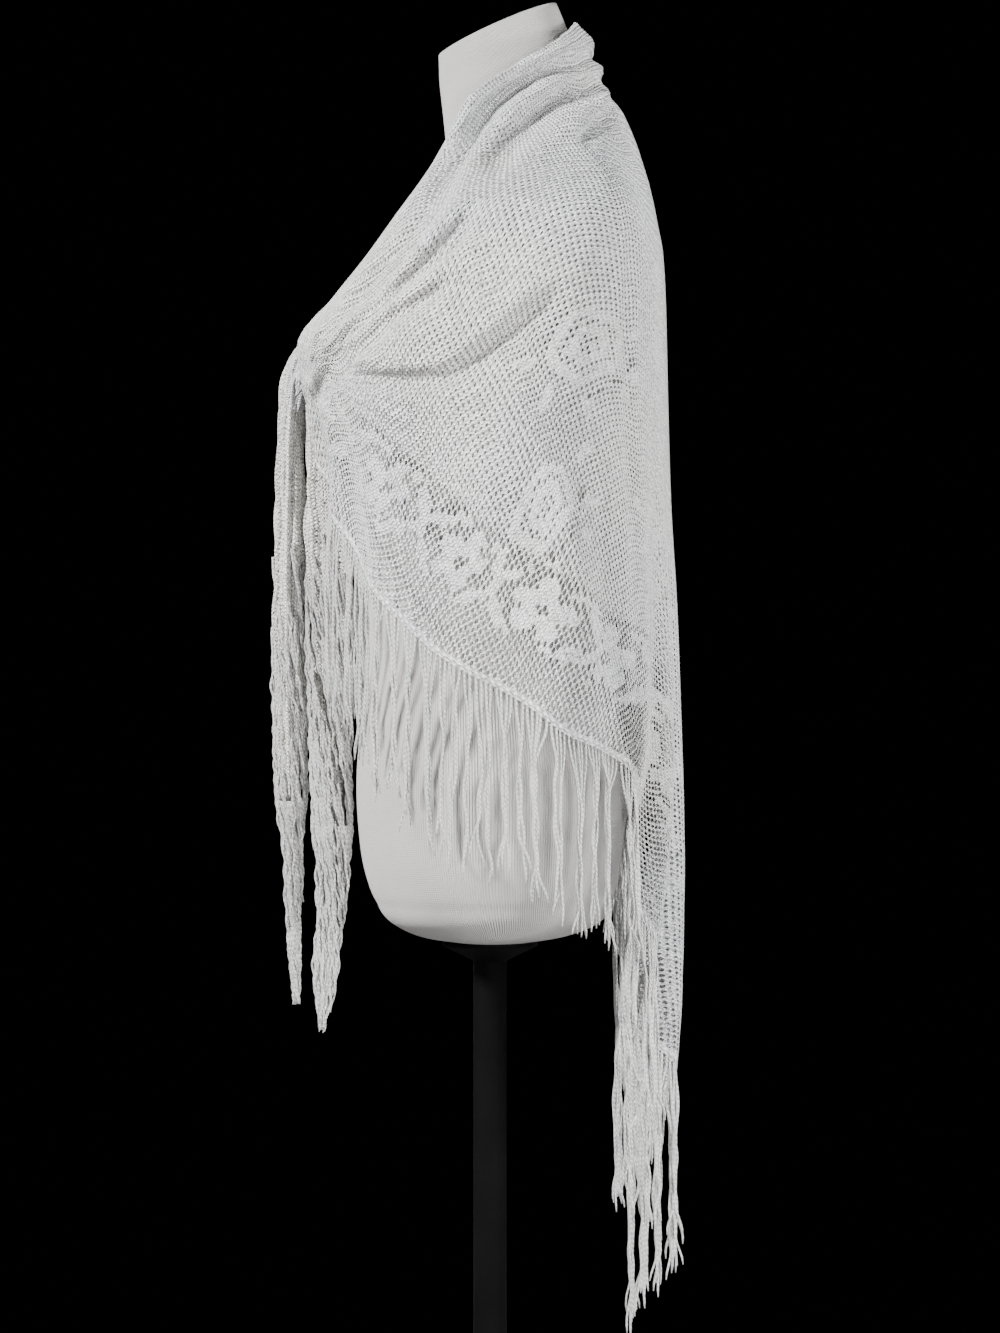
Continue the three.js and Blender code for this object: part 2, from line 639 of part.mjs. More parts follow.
// The knot: a rounded body with one slanting wrap of cloth raised round its waist.
const KNOT_LEVELS = 10;
const KNOT_SIDES = 18;
const KNOT_ENDS = 0.62; // how far its ends draw in
const KNOT_WRAP = { raise: 0.14, slant: 0.35, wide: 0.42 };
function knotGeometry() {
  const rings = [];
  for (let i = 0; i <= KNOT_LEVELS; i++) {
    const height = mix(-1, 1, i / KNOT_LEVELS);
    const girth = (1 - KNOT_ENDS * Math.abs(height) ** 2.6) ** 0.8;
    const ring = [];
    for (let s = 0; s < KNOT_SIDES; s++) {
      const turn = (2 * Math.PI * s) / KNOT_SIDES;
      const off = (height - KNOT_WRAP.slant * Math.cos(turn)) / KNOT_WRAP.wide;
      const pull = 1 - KNOT_WRAP.raise + KNOT_WRAP.raise * Math.exp(-off * off);
      ring.push(
        new THREE.Vector3(
          KNOT.halfX * girth * pull * Math.cos(turn),
          KNOT.y + KNOT.lean * height + KNOT.halfY * girth * pull * Math.sin(turn),
          KNOT.z + KNOT.halfZ * height,
        ),
      );
    }
    rings.push(ring);
  }
  return loft(rings);
}

add("form_body", formGeometry(), COLOURS.jersey);
add("stand_pole", poleGeometry(), COLOURS.paint);
add("stand_base", baseGeometry(), COLOURS.paint);
add("shawl_left", capeGeometry(sideColumns(1)), COLOURS.cloth);
add("shawl_back", capeGeometry(backColumns()), COLOURS.cloth);
add("shawl_right", capeGeometry(sideColumns(-1)), COLOURS.cloth);
add("shawl_knot", knotGeometry(), COLOURS.cloth);
add("shawl_end_front", endGeometry(FRONT_END), COLOURS.cloth);
add("shawl_end_back", endGeometry(BACK_END), COLOURS.cloth);
add("fringe_left", hemFringe(1), COLOURS.cloth);
add("fringe_right", hemFringe(-1), COLOURS.cloth);
add("fringe_end_front", endFringe(FRONT_END, -1, FRONT_BUNCH_Y, 900), COLOURS.cloth);
add("fringe_end_back", endFringe(BACK_END, 1, BACK_BUNCH_Y, 1300), COLOURS.cloth);

export default shawlOnForm;
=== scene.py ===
import math

import bpy
import numpy as np
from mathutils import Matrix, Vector


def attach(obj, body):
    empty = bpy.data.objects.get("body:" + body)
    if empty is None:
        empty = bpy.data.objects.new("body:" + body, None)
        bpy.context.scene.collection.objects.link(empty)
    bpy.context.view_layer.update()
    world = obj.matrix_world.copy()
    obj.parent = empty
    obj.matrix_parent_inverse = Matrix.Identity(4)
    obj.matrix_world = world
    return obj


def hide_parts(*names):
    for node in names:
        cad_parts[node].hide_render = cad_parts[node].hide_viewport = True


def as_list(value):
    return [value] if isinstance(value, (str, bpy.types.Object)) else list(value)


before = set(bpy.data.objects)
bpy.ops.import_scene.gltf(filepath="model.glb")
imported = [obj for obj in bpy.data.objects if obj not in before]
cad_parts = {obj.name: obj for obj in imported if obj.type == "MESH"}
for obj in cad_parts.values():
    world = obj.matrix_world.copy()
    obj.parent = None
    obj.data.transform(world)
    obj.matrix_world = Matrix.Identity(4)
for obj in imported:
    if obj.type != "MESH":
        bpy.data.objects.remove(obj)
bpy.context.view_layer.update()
draw = np.random.default_rng(11)

MM = 0.001
CELL = 4.1  # one mesh of the net, on the flat cloth

# Sections of the dress form: front and back points of the side outline, half width, squareness.
FORM_RINGS = (
    # yf, zf, yb, zb, half, n
    (-30, 345, 34, 345, 62, 2.1),
    (-53, 349, 60, 350, 102, 2.1),
    (-69, 356, 80, 358, 128, 2.15),
    (-81, 367, 89, 368, 145, 2.2),
    (-90, 385, 95, 385, 157, 2.2),
    (-97, 415, 100, 415, 164, 2.2),
    (-100, 460, 103, 460, 165, 2.2),
    (-97, 510, 97, 510, 150, 2.2),
    (-91, 565, 87, 565, 127, 2.2),
    (-92, 620, 90, 620, 129, 2.2),
    (-99, 680, 100, 680, 143, 2.25),
    (-107, 740, 111, 740, 154, 2.3),
    (-105, 785, 117, 785, 163, 2.35),
    (-93, 825, 119, 825, 174, 2.4),
    (-79, 855, 118, 855, 178, 2.4),
    (-67, 878, 114, 878, 168.6, 2.35),
    (-57, 894, 110, 894, 148.8, 2.3),
    (-47, 908, 105, 909, 122.8, 2.2),
    (-39, 922, 99, 926, 96, 2.1),
    (-33, 938, 91, 950, 71, 2.05),
    (-35, 962, 79, 980, 56, 2),
    (-38, 990, 63, 1016, 48.5, 2),
    (-38.5, 1008, 50, 1047, 47, 2),
)
BUST = dict(x=68, z=742, reach=15, wide=44, tall=46)

# Level sections of the draped cloth: front and back depth, middle, half width, squareness, flutes.
CAPE_RINGS = (
    # z, front, back, mid, half, n, flute
    (187, 126, 134, 0, 62, 2.3, 15),
    (225, 126, 140, 0, 78, 2.3, 19),
    (300, 126, 145, 0, 105, 2.3, 20),
    (400, 126, 146, 0, 142, 2.3, 12),
    (450, 126, 145, 0, 165, 2.3, 9),
    (480, 126, 144, 0, 180, 2.3, 8),
    (525, 126, 142.5, 0, 187, 2.3, 6),
    (600, 126, 139.5, 0, 188, 2.3, 3.5),
    (675, 126, 135, 0, 190, 2.3, 1),
    (742, 134, 133, 0, 191, 2.3, 0),
    (787, 142, 132, 2, 190.5, 2.3, 0),
    (825, 114, 131, 8, 188, 2.35, 0),
    (858, 88, 129, 14, 183.5, 2.35, 0),
    (880, 72, 125, 19, 173, 2.35, 0),
    (896, 61, 122, 24, 154, 2.3, 0),
    (910, 52, 119, 28, 131, 2.2, 0),
    (924, 45, 115, 29, 107, 2.1, 0),
    (940, 41, 110, 29, 85, 2.05, 0),
    (962, 40, 101, 24, 68, 2, 0),
    (990, 42, 88, 18, 60, 2, 0),
    (1012, 43, 76, 14, 56, 2, 0),
    (1034, 44, 64, 10, 53, 2, 0),
)

# The cloth's neck edge and hem by the angle round its middle, 0 in front and 180 behind.
EDGES = (
    # angle, neck, hem
    (8.6, 795, 740),
    (14.7, 845, 718),
    (23.3, 883, 697),
    (33, 917, 677),
    (41, 934, 660),
    (48, 946, 645),
    (59.3, 965, 612),
    (66, 972, 592),
    (77, 981, 562),
    (85.6, 988, 545),
    (97, 997, 525),
    (108, 1004, 500),
    (117, 1010, 491),
    (127, 1015, 477),
    (132, 1018, 440),
    (139, 1021, 400),
    (156, 1028, 300),
    (168, 1031, 257),
    (180, 1033, 187),
)
ANGLE, NECK, HEM = 0, 1, 2

# Rolls of cloth as lines in the side view, from the back towards the knot.
RIDGES = (
    # wide, high, points (y, z)
    (6.5, 4.4, ((104, 1030), (55, 1016), (28, 990), (8, 980), (-11, 960), (-31, 920), (-51, 887),
                (-84, 844))),
    (5.5, 5.6, ((118, 1008), (78, 994), (55, 985), (31, 972), (8, 957), (-5, 940), (-15, 917), (-28, 897))),
    (7.5, 5.6, ((124, 990), (97, 979), (80, 971), (60, 956), (40, 934), (20, 904), (-8, 868))),
    (6.5, 3.4, ((-6, 852), (-40, 833), (-60, 816), (-80, 799), (-104, 776))),
    (10.0, 3.0, ((22, 818), (-20, 792), (-60, 776), (-95, 763))),
    (13.0, 4.0, ((84, 700), (98, 600), (108, 490))),
)

# Creases in the side view, each with how wide and deep it is and how much softer its lower flank.
CREASES = (
    # wide, deep, soft, points (y, z)
    (5.8, 19.0, 1.3, ((110, 1017), (78, 1007), (48, 996), (21, 981), (3, 965), (-8, 943), (-23, 917),
                      (-35, 890), (-51, 864), (-71, 838), (-100, 801))),
    (8.5, 15.0, 1.2, ((120, 999), (101, 993), (81, 988), (61, 980), (45, 968), (30, 950), (15, 933),
                      (-2, 904))),
    (4.6, 9.5, 1.4, ((112, 984), (98, 980), (92, 974), (86, 961), (74, 948), (61, 934))),
    (6.2, 13.0, 1.4, ((-4, 886), (-15, 871), (-34, 848), (-54, 828), (-74, 811), (-100, 788),
                      (-122, 763))),
    (5.6, 12.0, 1.4, ((-20, 830), (-34, 821), (-48, 811), (-67, 800), (-87, 783), (-107, 768),
                      (-130, 742))),
    (6.4, 9.0, 1.4, ((56, 824), (45, 815), (25, 798), (2, 778), (-18, 764), (-41, 755), (-67, 754),
                     (-94, 760), (-112, 766))),
    (3.6, 6.0, 1.3, ((36, 980), (22, 977), (12, 964), (2, 948))),
    (4.0, 6.0, 1.4, ((-34, 902), (-62, 866), (-98, 812), (-124, 778))),
    (3.0, 3.0, 1.4, ((-14, 858), (-44, 838), (-80, 806), (-104, 784))),
    (5.0, 2.6, 1.3, ((96, 905), (100, 860), (97, 800), (100, 720), (106, 620), (110, 520))),
    (9.0, 3.4, 1.2, ((64, 700), (76, 640), (86, 570), (92, 500))),
    (8.0, 2.8, 1.2, ((30, 700), (36, 640), (40, 570))),
    (7.0, 2.4, 1.2, ((-14, 690), (-16, 650), (-14, 600))),
)
FAN = dict(y=-133, z=762, high=1.9, reach=78, turns=37)  # gathers that spread from the knot
CREASE_FLOOR = -1.5  # the deepest that the cloth may sink: the form is just below
NECK_FLOOR = -4.2  # deeper still over the slope to the neck, where there is more room
FLOOR_BEND = 1.6  # how sharply a trough turns level at that depth
SIDE_EASE = 9.0  # extra room over the shoulders and chest, for the troughs
FLUTES = dict(start=98, full=135, pitch={1: 50, -1: 46})  # hanging folds, by the angle
HEM_WAVE = dict(high=4, reach=170, turn={1: 21, -1: 19})
CALM_FRONT = 20  # the folds rise from the knot to this angle
FAR_SHIFT = dict(down=7, phase=1.5)  # the right side's folds lie lower and swell elsewhere

KNOT = dict(y=-141, z=765, half_x=21.8, half_y=13.5, half_z=25, lean=4)

# Gathered ends: middle and half widths of the loosely rolled cloth at each height.
FRONT_END = (
    # z, x, y, half_x, half_y
    (446, -13, -150, 7.5, 6.5),
    (510, -10, -151, 15, 10.5),
    (600, -9, -152, 18, 11),
    (705, -8, -150.5, 15.5, 10),
    (740, -6, -149, 16, 10.5),
    (764, -4, -146.5, 15, 10.5),
    (781, -2, -142.5, 11, 8),
    (790, -1, -140, 7, 4.5),
)
BACK_END = (
    (428, 5, -117, 6, 6.5),
    (500, 4, -119, 12, 13.5),
    (572, 4, -120, 11, 15.5),
    (650, 5, -121, 15, 17),
    (700, 5, -124, 14, 14.5),
    (745, 7, -134, 10, 5),
    (764, 5, -138, 7, 4.5),
)
# Loose bunches of the ends' cords: middle and half widths at each height.
FRONT_BUNCH = (
    (296, -25, -146.5, 2.5, 2.5),
    (340, -23, -147.5, 7, 5),
    (400, -18, -148.5, 11, 7.5),
    (450, -14, -149.5, 13, 10),
    (600, -10, -151.5, 18.5, 11.8),
    (705, -8, -150.5, 16.5, 10.8),
)
BACK_BUNCH = (
    (276, 22, -126, 3.5, 3.5),
    (330, 20, -122, 9, 10),
    (400, 15, -118.5, 12, 13.5),
    (500, 9, -119.5, 14, 14),
    (600, 5, -120, 13, 17),
    (705, 5, -124, 15, 14),
)


def smooth(x, a, b):
    t = np.clip((np.asarray(x, float) - a) / (b - a), 0, 1)
    return t * t * (3 - 2 * t)


def mix(a, b, t):
    return a + (b - a) * t


def along(rows, at, column, key=0):
    """A table's column at a key, by a monotone cubic through its rows."""
    table = np.asarray(rows, float)
    x, y = table[:, key], table[:, column]
    rise = np.diff(y) / np.diff(x)
    slope = np.empty_like(y)
    slope[0], slope[-1] = rise[0], rise[-1]
    product = rise[:-1] * rise[1:]
    total = np.where(product > 0, rise[:-1] + rise[1:], 1)
    slope[1:-1] = np.where(product > 0, 2 * product / total, 0)
    at = np.clip(np.asarray(at, float), x[0], x[-1])
    i = np.clip(np.searchsorted(x, at, side="left") - 1, 0, len(x) - 2)
    width = x[i + 1] - x[i]
    t = (at - x[i]) / width
    t2, t3 = t * t, t * t * t
    return (
        (2 * t3 - 3 * t2 + 1) * y[i]
        + (t3 - 2 * t2 + t) * width * slope[i]
        + (3 * t2 - 2 * t3) * y[i + 1]
        + (t3 - t2) * width * slope[i + 1]
    )


def unit(v):
    return v / np.maximum(np.linalg.norm(v, axis=-1, keepdims=True), 1e-9)


def resample(points, keys, at):
    """Points of a polyline at values of a rising key."""
    return np.stack([np.interp(at, keys, points[:, k]) for k in range(points.shape[1])], -1)


def lengths(points):
    """How far along its path each point is, from 0 at the start."""
    steps = np.linalg.norm(np.diff(points, axis=-2), axis=-1)
    return np.concatenate([np.zeros_like(steps[..., :1]), np.cumsum(steps, axis=-1)], -1)


def mesh_piece(name, arrays, material, wrap=None):
    """A new object from arrays of points (mm), triangles and flat coordinates, with smooth shading.
    wrap is the flat u of a whole turn, where the mesh closes on itself."""
    points, triangles, uv = arrays
    mesh = bpy.data.meshes.new(name)
    triangles = np.asarray(triangles, np.int32)
    mesh.vertices.add(len(points))
    mesh.vertices.foreach_set("co", (points * MM).astype(np.float32).ravel())
    mesh.loops.add(triangles.size)
    mesh.loops.foreach_set("vertex_index", triangles.ravel())
    mesh.polygons.add(len(triangles))
    mesh.polygons.foreach_set("loop_start", np.arange(0, triangles.size, 3, dtype=np.int32))
    mesh.polygons.foreach_set("use_smooth", np.ones(len(triangles), bool))
    if uv is not None:
        layer = mesh.uv_layers.new(name="flat")
        corners = np.asarray(uv, np.float64)[triangles]
        if wrap is not None:
            low = corners[..., 0] < wrap / 2
            over = np.ptp(corners[..., 0], axis=1) > wrap / 2
            corners[..., 0] += wrap * (low & over[:, None])
        layer.data.foreach_set("uv", corners.astype(np.float32).ravel())
    mesh.update(calc_edges=True)
    mesh.validate()
    mesh.materials.append(material)
    piece = bpy.data.objects.new(name, mesh)
    bpy.context.scene.collection.objects.link(piece)
    return piece


def grid_triangles(rows, columns, closed=False, ring=False):
    """Triangles of a grid of rows x columns points. closed joins the last column to the first, and
    ring the last row to the first."""
    r, c = np.arange(rows if ring else rows - 1), np.arange(columns if closed else columns - 1)
    r, c = (part.ravel() for part in np.meshgrid(r, c, indexing="ij"))
    low, high, right = r * columns, (r + 1) % rows * columns, (c + 1) % columns
    first = np.stack([low + c, low + right, high + right], 1)
    return np.concatenate([first, np.stack([low + c, high + right, high + c], 1)])


def grid_arrays(points, closed=False, ring=False):
    """Points and triangles of a grid of points, rows by columns."""
    return points.reshape(-1, 3), grid_triangles(*points.shape[:2], closed, ring)


def outward(points, faces):
    """Triangles of a closed body turned so that its volume is positive."""
    a, b, c = (points[faces[:, k]] for k in range(3))
    return faces if (a * np.cross(b, c)).sum() > 0 else faces[:, ::-1]


def circle(steps):
    return np.linspace(0, 2 * np.pi, steps, endpoint=False)


def together(*parts):
    """Parts of like shape side by side on a last axis."""
    return np.stack(np.broadcast_arrays(*parts), -1)


def scatter(a, b, seed=0.0, by=(12.9898, 78.233, 43758.5453)):
    """Scattered numbers from 0 to 1 that two others fix."""
    return np.abs(np.sin(a * by[0] + b * by[1] + seed) * by[2]) % 1.0


# The draped surface.


def line_gap(y, z, points):
    """Signed distance in the side view to a polyline, above it positive, and the share along it."""
    points = np.asarray(points, float)
    best = np.full(np.shape(y), np.inf)
    share = np.zeros(np.shape(y))
    sign = np.ones(np.shape(y))
    reach = lengths(points)
    for k in range(len(points) - 1):
        a, b = points[k], points[k + 1]
        d = b - a
        t = np.clip(((y - a[0]) * d[0] + (z - a[1]) * d[1]) / (d @ d), 0, 1)
        gy, gz = y - a[0] - t * d[0], z - a[1] - t * d[1]
        gap = np.hypot(gy, gz)
        nearer = gap < best
        best = np.where(nearer, gap, best)
        share = np.where(nearer, (reach[k] + t * (reach[k + 1] - reach[k])) / reach[-1], share)
        sign = np.where(nearer, np.sign(d[0] * gz - d[1] * gy), sign)
    return best * -sign, share


def smooth_line(points, steps=24):
    """A soft curve through the points of a crease."""
    points = np.asarray(points, float)
    keys = lengths(points)
    at = np.linspace(0, keys[-1], steps)
    table = np.column_stack([keys, points])
    return np.stack([along(table, at, 1), along(table, at, 2)], -1)


CREASE_LINES = tuple((wide, deep, soft, smooth_line(points)) for wide, deep, soft, points in CREASES)


ROLL_LINES = tuple((wide, high, smooth_line(points)) for wide, high, points in RIDGES)


def relief(y, z, phase):
    """How far the folds lift the cloth at a point of the side view; phase is 0 on the left."""
    lift = np.zeros(np.shape(y))
    for wide, high, line in ROLL_LINES:
        gap, share = line_gap(y, z, line)
        ends = 0.35 + 0.65 * smooth(1 - share, 0, 0.35)
        lift = np.maximum(lift, high * ends * np.exp(-((gap / wide) ** 2)))
    for number, (wide, deep, soft, line) in enumerate(CREASE_LINES):
        gap, share = line_gap(y, z, line)
        uneven = 1 + 0.18 * np.sin(7 * share + 2.1 * number + phase)
        fade = smooth(share, -0.02, 0.22) * smooth(1 - share, -0.02, 0.1)
        width = np.where(gap > 0, wide, wide * soft)
        trough = np.exp(-((gap / width) ** 2))
        roll = np.exp(-(((gap - 1.6 * wide) / (0.9 * wide)) ** 2))
        lift = lift - deep * uneven * fade * (trough - 0.32 * roll)
    out_y, out_z = y - FAN["y"], z - FAN["z"]
    far, turn = np.hypot(out_y, out_z), np.arctan2(out_z, out_y)
    gathers = np.cos(FAN["turns"] * turn + 2.2 * np.sin(3 * turn) + phase)
    strength = FAN["high"] * (0.65 + 0.35 * np.cos(5 * turn + 1))
    return lift + strength * np.exp(-((far / FAN["reach"]) ** 2)) * smooth(far, 2, 16) * gathers


def cape(side, angle, z):
    """Points of the cloth's outer face: side 1 is the form's left, angle in degrees."""
    front, back, mid, half, square, flute = (along(CAPE_RINGS, z, c) for c in range(1, 7))
    turn = np.radians(angle)
    depth = np.where(np.cos(turn) > 0, front + mid, back - mid)
    across = np.abs(np.sin(turn)) / half
    deep = np.abs(np.cos(turn)) / depth
    radius = (across**square + deep**square) ** (-1 / square)
    x = radius * np.sin(turn)
    y = mid - radius * np.cos(turn)
    behind = smooth(angle, FLUTES["start"], FLUTES["full"])
    radius = radius - behind * flute * (1 + np.cos(2 * np.pi * x / FLUTES["pitch"][side]))
    low = smooth(along(EDGES, angle, HEM) + HEM_WAVE["reach"] - z, 0, HEM_WAVE["reach"]) * (1 - behind)
    radius = radius + HEM_WAVE["high"] * low * np.cos(2 * np.pi * angle / HEM_WAVE["turn"][side])
    calm = smooth(angle, EDGES[0][ANGLE], CALM_FRONT) * (1 - 0.15 * smooth(angle, 165, 180))
    other = (side < 0) * smooth(180 - angle, 0, 30)
    room = smooth(z, 690, 760) * smooth(angle, 9, 26) * (1 - smooth(angle, 105, 140))
    folds = relief(y, z + FAR_SHIFT["down"] * other, FAR_SHIFT["phase"] * other)
    lift = calm * folds + SIDE_EASE * room
    floor = CREASE_FLOOR + NECK_FLOOR * smooth(z, 898, 918) * (1 - smooth(z, 985, 1034))
    lift = floor + np.logaddexp(0, FLOOR_BEND * (lift - floor)) / FLOOR_BEND
    # In front the folds stand out sideways, so that the neck edge keeps its line.
    aside = np.maximum(np.sin(turn), 0.8 * smooth(angle, 9, 30) * (np.asarray(angle) < 90))
    ahead = np.cos(turn) * mix(0.2, 1.0, smooth(angle, 25, 70))
    x = radius * np.sin(turn) + lift * aside
    y = mid - radius * np.cos(turn) - lift * ahead
    return np.stack([side * x, y, z + 0 * radius], -1)


P_KNOT = 520.0  # from the middle of the top edge to where the cloth runs into the knot
ACROSS_STEPS = 240
DOWN_STEPS = 520
FIRST_ANGLE = 8.0
SOFTENED_OVER = 9  # columns on each side that soften a column's height


class Stretch:
    """One side of the cloth: its surface over flat p (0 at the back) and share down the column."""

    def __init__(self, side):
        fine = np.linspace(FIRST_ANGLE, 180, 1400)
        share = np.linspace(0, 1, ACROSS_STEPS + 1)
        ends = []
        for edge in (NECK, HEM):
            # Angles at equal lengths along the edge, from the back to the knot.
            reach = lengths(cape(side, fine, along(EDGES, fine, edge)))
            ends.append(np.interp((1 - share) * reach[-1], reach, fine)[:, None])
        t = np.linspace(0, 1, DOWN_STEPS + 1)
        w = t[None, :] ** 0.9
        angle = ends[0] * (1 - w) + ends[1] * w
        z = mix(along(EDGES, angle, NECK), along(EDGES, angle, HEM), t[None, :])
        points = cape(side, angle, z)
        reach = lengths(points)
        kernel = np.hanning(2 * SOFTENED_OVER + 1)
        padded = np.pad(reach[:, -1], SOFTENED_OVER, mode="edge")
        self.height = np.convolve(padded, kernel / kernel.sum(), mode="valid")
        self.points = np.stack([resample(row, far / far[-1], t) for row, far in zip(points, reach)])
        normals = unit(np.cross(np.gradient(self.points, axis=1), np.gradient(self.points, axis=0)))
        outside = np.sign(side * normals[ACROSS_STEPS // 2, DOWN_STEPS // 2, 0])
        self.normals = normals * outside

    def flat_height(self, p):
        """Length of the flat cloth's column, longer than the draped one near the knot."""
        height = np.interp(p, np.linspace(0, P_KNOT, ACROSS_STEPS + 1), self.height)
        return height * (1 + 0.3 * smooth(p, 330, P_KNOT))

    def at(self, p, share, lift=0.0):
        """Points at flat p and share down, raised off the cloth by lift."""
        i = np.clip(np.asarray(p) / P_KNOT * ACROSS_STEPS, 0, ACROSS_STEPS - 1e-6)
        j = np.clip(np.asarray(share) * DOWN_STEPS, 0, DOWN_STEPS - 1e-6)
        i0, j0 = i.astype(int), j.astype(int)
        fi, fj = (i - i0)[..., None], (j - j0)[..., None]
        out = []
        for field in (self.points, self.normals):
            top = field[i0, j0] * (1 - fi) + field[i0 + 1, j0] * fi
            low = field[i0, j0 + 1] * (1 - fi) + field[i0 + 1, j0 + 1] * fi
            out.append(top * (1 - fj) + low * fj)
        return out[0] + out[1] * np.asarray(lift)[..., None], out[1]


LEFT, RIGHT = Stretch(1), Stretch(-1)


# Materials.


class Shade:
    """A new material and the nodes that feed its shader."""

    def __init__(self, name):
        self.made = bpy.data.materials.new(name)
        self.made.use_nodes = True
        self.nodes, self.links = self.made.node_tree.nodes, self.made.node_tree.links
        self.inputs = self.nodes["Principled BSDF"].inputs

    def feed(self, socket, value):
        """Link a socket to another node's output, or set it to a number."""
        if isinstance(value, bpy.types.NodeSocket):
            self.links.new(value, socket)
        else:
            socket.default_value = value

    def shader(self, **values):
        """Feed the shader: Base_Color stands for its input Base Color, and so on."""
        for name, value in values.items():
            self.feed(self.inputs[name.replace("_", " ")], value)

    def node(self, kind, output, inputs, **settings):
        """One output of a new node with these inputs, by name or number."""
        node = self.nodes.new("ShaderNode" + kind)
        for name, value in settings.items():
            setattr(node, name, value)
        for socket, value in inputs.items():
            self.feed(node.inputs[socket], value)
        return node.outputs[output]

    def maths(self, operation, *values):
        return self.node("Math", 0, dict(enumerate(values)), operation=operation)

    def wave(self, turns):
        return self.maths("SINE", self.maths("MULTIPLY", turns, 2 * math.pi))

    def flat_axes(self):
        """The flat cloth's two coordinates, in meshes of the net."""
        split = self.nodes.new("ShaderNodeSeparateXYZ")
        self.feed(split.inputs[0], self.node("UVMap", 0, {}, uv_map="flat"))
        return split.outputs[0], split.outputs[1]

    def noise(self, scale, detail=2.0):
        place = self.node("TexCoord", "Object", {})
        return self.node("TexNoise", "Fac", {"Scale": scale, "Detail": detail, "Vector": place})

    def two_tones(self, fac, first, second):
        ramp = self.nodes.new("ShaderNodeValToRGB")
        for element, at, colour in zip(ramp.color_ramp.elements, (0.35, 0.65), (first, second)):
            element.position = at
            element.color = (*colour, 1)
        self.feed(ramp.inputs[0], fac)
        return ramp.outputs[0]

    def spread(self, value, to_low, to_high, low=0.0, high=1.0):
        """A value between low and high, carried to between to_low and to_high."""
        ends = {"From Min": low, "From Max": high, "To Min": to_low, "To Max": to_high}
        return self.node("MapRange", 0, {"Value": value, **ends})

    def bump(self, height, strength, distance):
        feeds = {"Strength": strength, "Distance": distance, "Height": height}
        self.shader(Normal=self.node("Bump", 0, feeds))

    def darkened(self, colour, height, least, low, high):
        """The colour, darker where height is low: painted shade in the valleys between stitches, plies or
        ribs, and a random mottle where height is noise.
        """
        feeds = {"Factor": 1.0, "A": colour, "B": self.spread(height, least, 1.0, low, high)}
        return self.node("Mix", "Result", feeds, data_type="RGBA", blend_type="MULTIPLY")


def lace_material(name, warm, cool):
    """Silky knitted net: rows of small stitches in chevrons over each mesh."""
    shade = Shade(name)
    u, v = shade.flat_axes()
    zigzag = shade.maths("PINGPONG", u, 0.5)
    rows = shade.maths("MULTIPLY_ADD", v, 1.5, zigzag)
    knit = shade.maths("MULTIPLY_ADD", shade.wave(u), 0.6, shade.wave(rows))
    fibre = shade.noise(380.0, 3.0)
    height = shade.maths("MULTIPLY_ADD", fibre, 6.0, knit)
    shade.bump(height, 0.9, 0.0006)
    tone = shade.two_tones(shade.noise(7.0), cool, warm)
    mottled = shade.darkened(tone, shade.noise(120.0, 3.0), 0.86, 0.35, 0.6)
    # The base colour carries painted shade: darker in the low parts of the stitch and fibre relief.
    shade.shader(
        Base_Color=shade.darkened(mottled, height, 0.42, 1.5, 4.6),
        Roughness=shade.spread(fibre, 0.2, 0.6),
        Specular_IOR_Level=0.8,
        Sheen_Weight=0.15,
        Sheen_Roughness=0.4,
    )
    return shade.made


def cord_material(name):
    """Two-ply cord: slanting plies on a silky yarn."""
    shade = Shade(name)
    u, v = shade.flat_axes()
    slant = shade.maths("MULTIPLY_ADD", v, 1.1, shade.maths("MULTIPLY", u, 2.0))
    ply = shade.wave(slant)
    shade.bump(ply, 0.9, 0.0006)
    tone = shade.two_tones(shade.noise(60.0), (0.88, 0.88, 0.87), (0.97, 0.96, 0.935))
    # The base colour carries painted shade: darker in the grooves between the plies.
    shade.shader(
        Base_Color=shade.darkened(tone, ply, 0.5, -1.0, 0.6),
        Roughness=shade.spread(shade.noise(1200.0), 0.34, 0.55),
        Specular_IOR_Level=0.8,
        Sheen_Weight=0.1,
        Sheen_Roughness=0.4,
    )
    return shade.made


def jersey_material(name):
    """Pale ribbed jersey: one rib to each unit of the flat u."""
    shade = Shade(name)
    u, v = shade.flat_axes()
    height = shade.maths("MULTIPLY_ADD", shade.wave(v), 0.25, shade.wave(u))
    shade.bump(height, 0.7, 0.0008)
    tone = shade.two_tones(shade.noise(9.0, 3.0), (0.42, 0.41, 0.395), (0.49, 0.48, 0.465))
    # The base colour carries painted shade: darker in the valleys between the ribs.
    shade.shader(
        Base_Color=shade.darkened(tone, height, 0.78, -1.2, 0.3),
        Roughness=shade.spread(shade.noise(500.0), 0.8, 0.95),
        Sheen_Weight=0.15,
    )
    return shade.made


def paint_material(name):
    """Matt black paint with a fine grain."""
    shade = Shade(name)
    grain = shade.noise(900.0, 3.0)
    shade.bump(grain, 0.08, 0.0002)
    shade.shader(
        Base_Color=shade.two_tones(shade.noise(20.0), (0.002, 0.002, 0.0022), (0.003, 0.003, 0.0033)),
        Roughness=shade.spread(grain, 0.62, 0.78),
        Specular_IOR_Level=0.03,
    )
    return shade.made


def floor_material(name):
    shade = Shade(name)
    tone = shade.two_tones(shade.noise(5.0), (0.60, 0.60, 0.60), (0.64, 0.64, 0.64))
    shade.shader(Base_Color=tone, Roughness=0.85)
    return shade.made


LACE = lace_material("lace", warm=(0.96, 0.95, 0.925), cool=(0.88, 0.89, 0.915))
END_LACE = lace_material("lace_end", warm=(0.95, 0.925, 0.86), cool=(0.91, 0.90, 0.87))
CORD = cord_material("cord")
JERSEY = jersey_material("jersey")
PAINT = paint_material("stand_paint")


# The net.

YARN_LIFT = 0.36  # knots of the net above the cloth's face
RIM_DROP = 0.28  # rims of its holes below it
SOLID_DIP = 0.30
HOLE_TURNS = np.pi / 8 + np.arange(8) * np.pi / 4


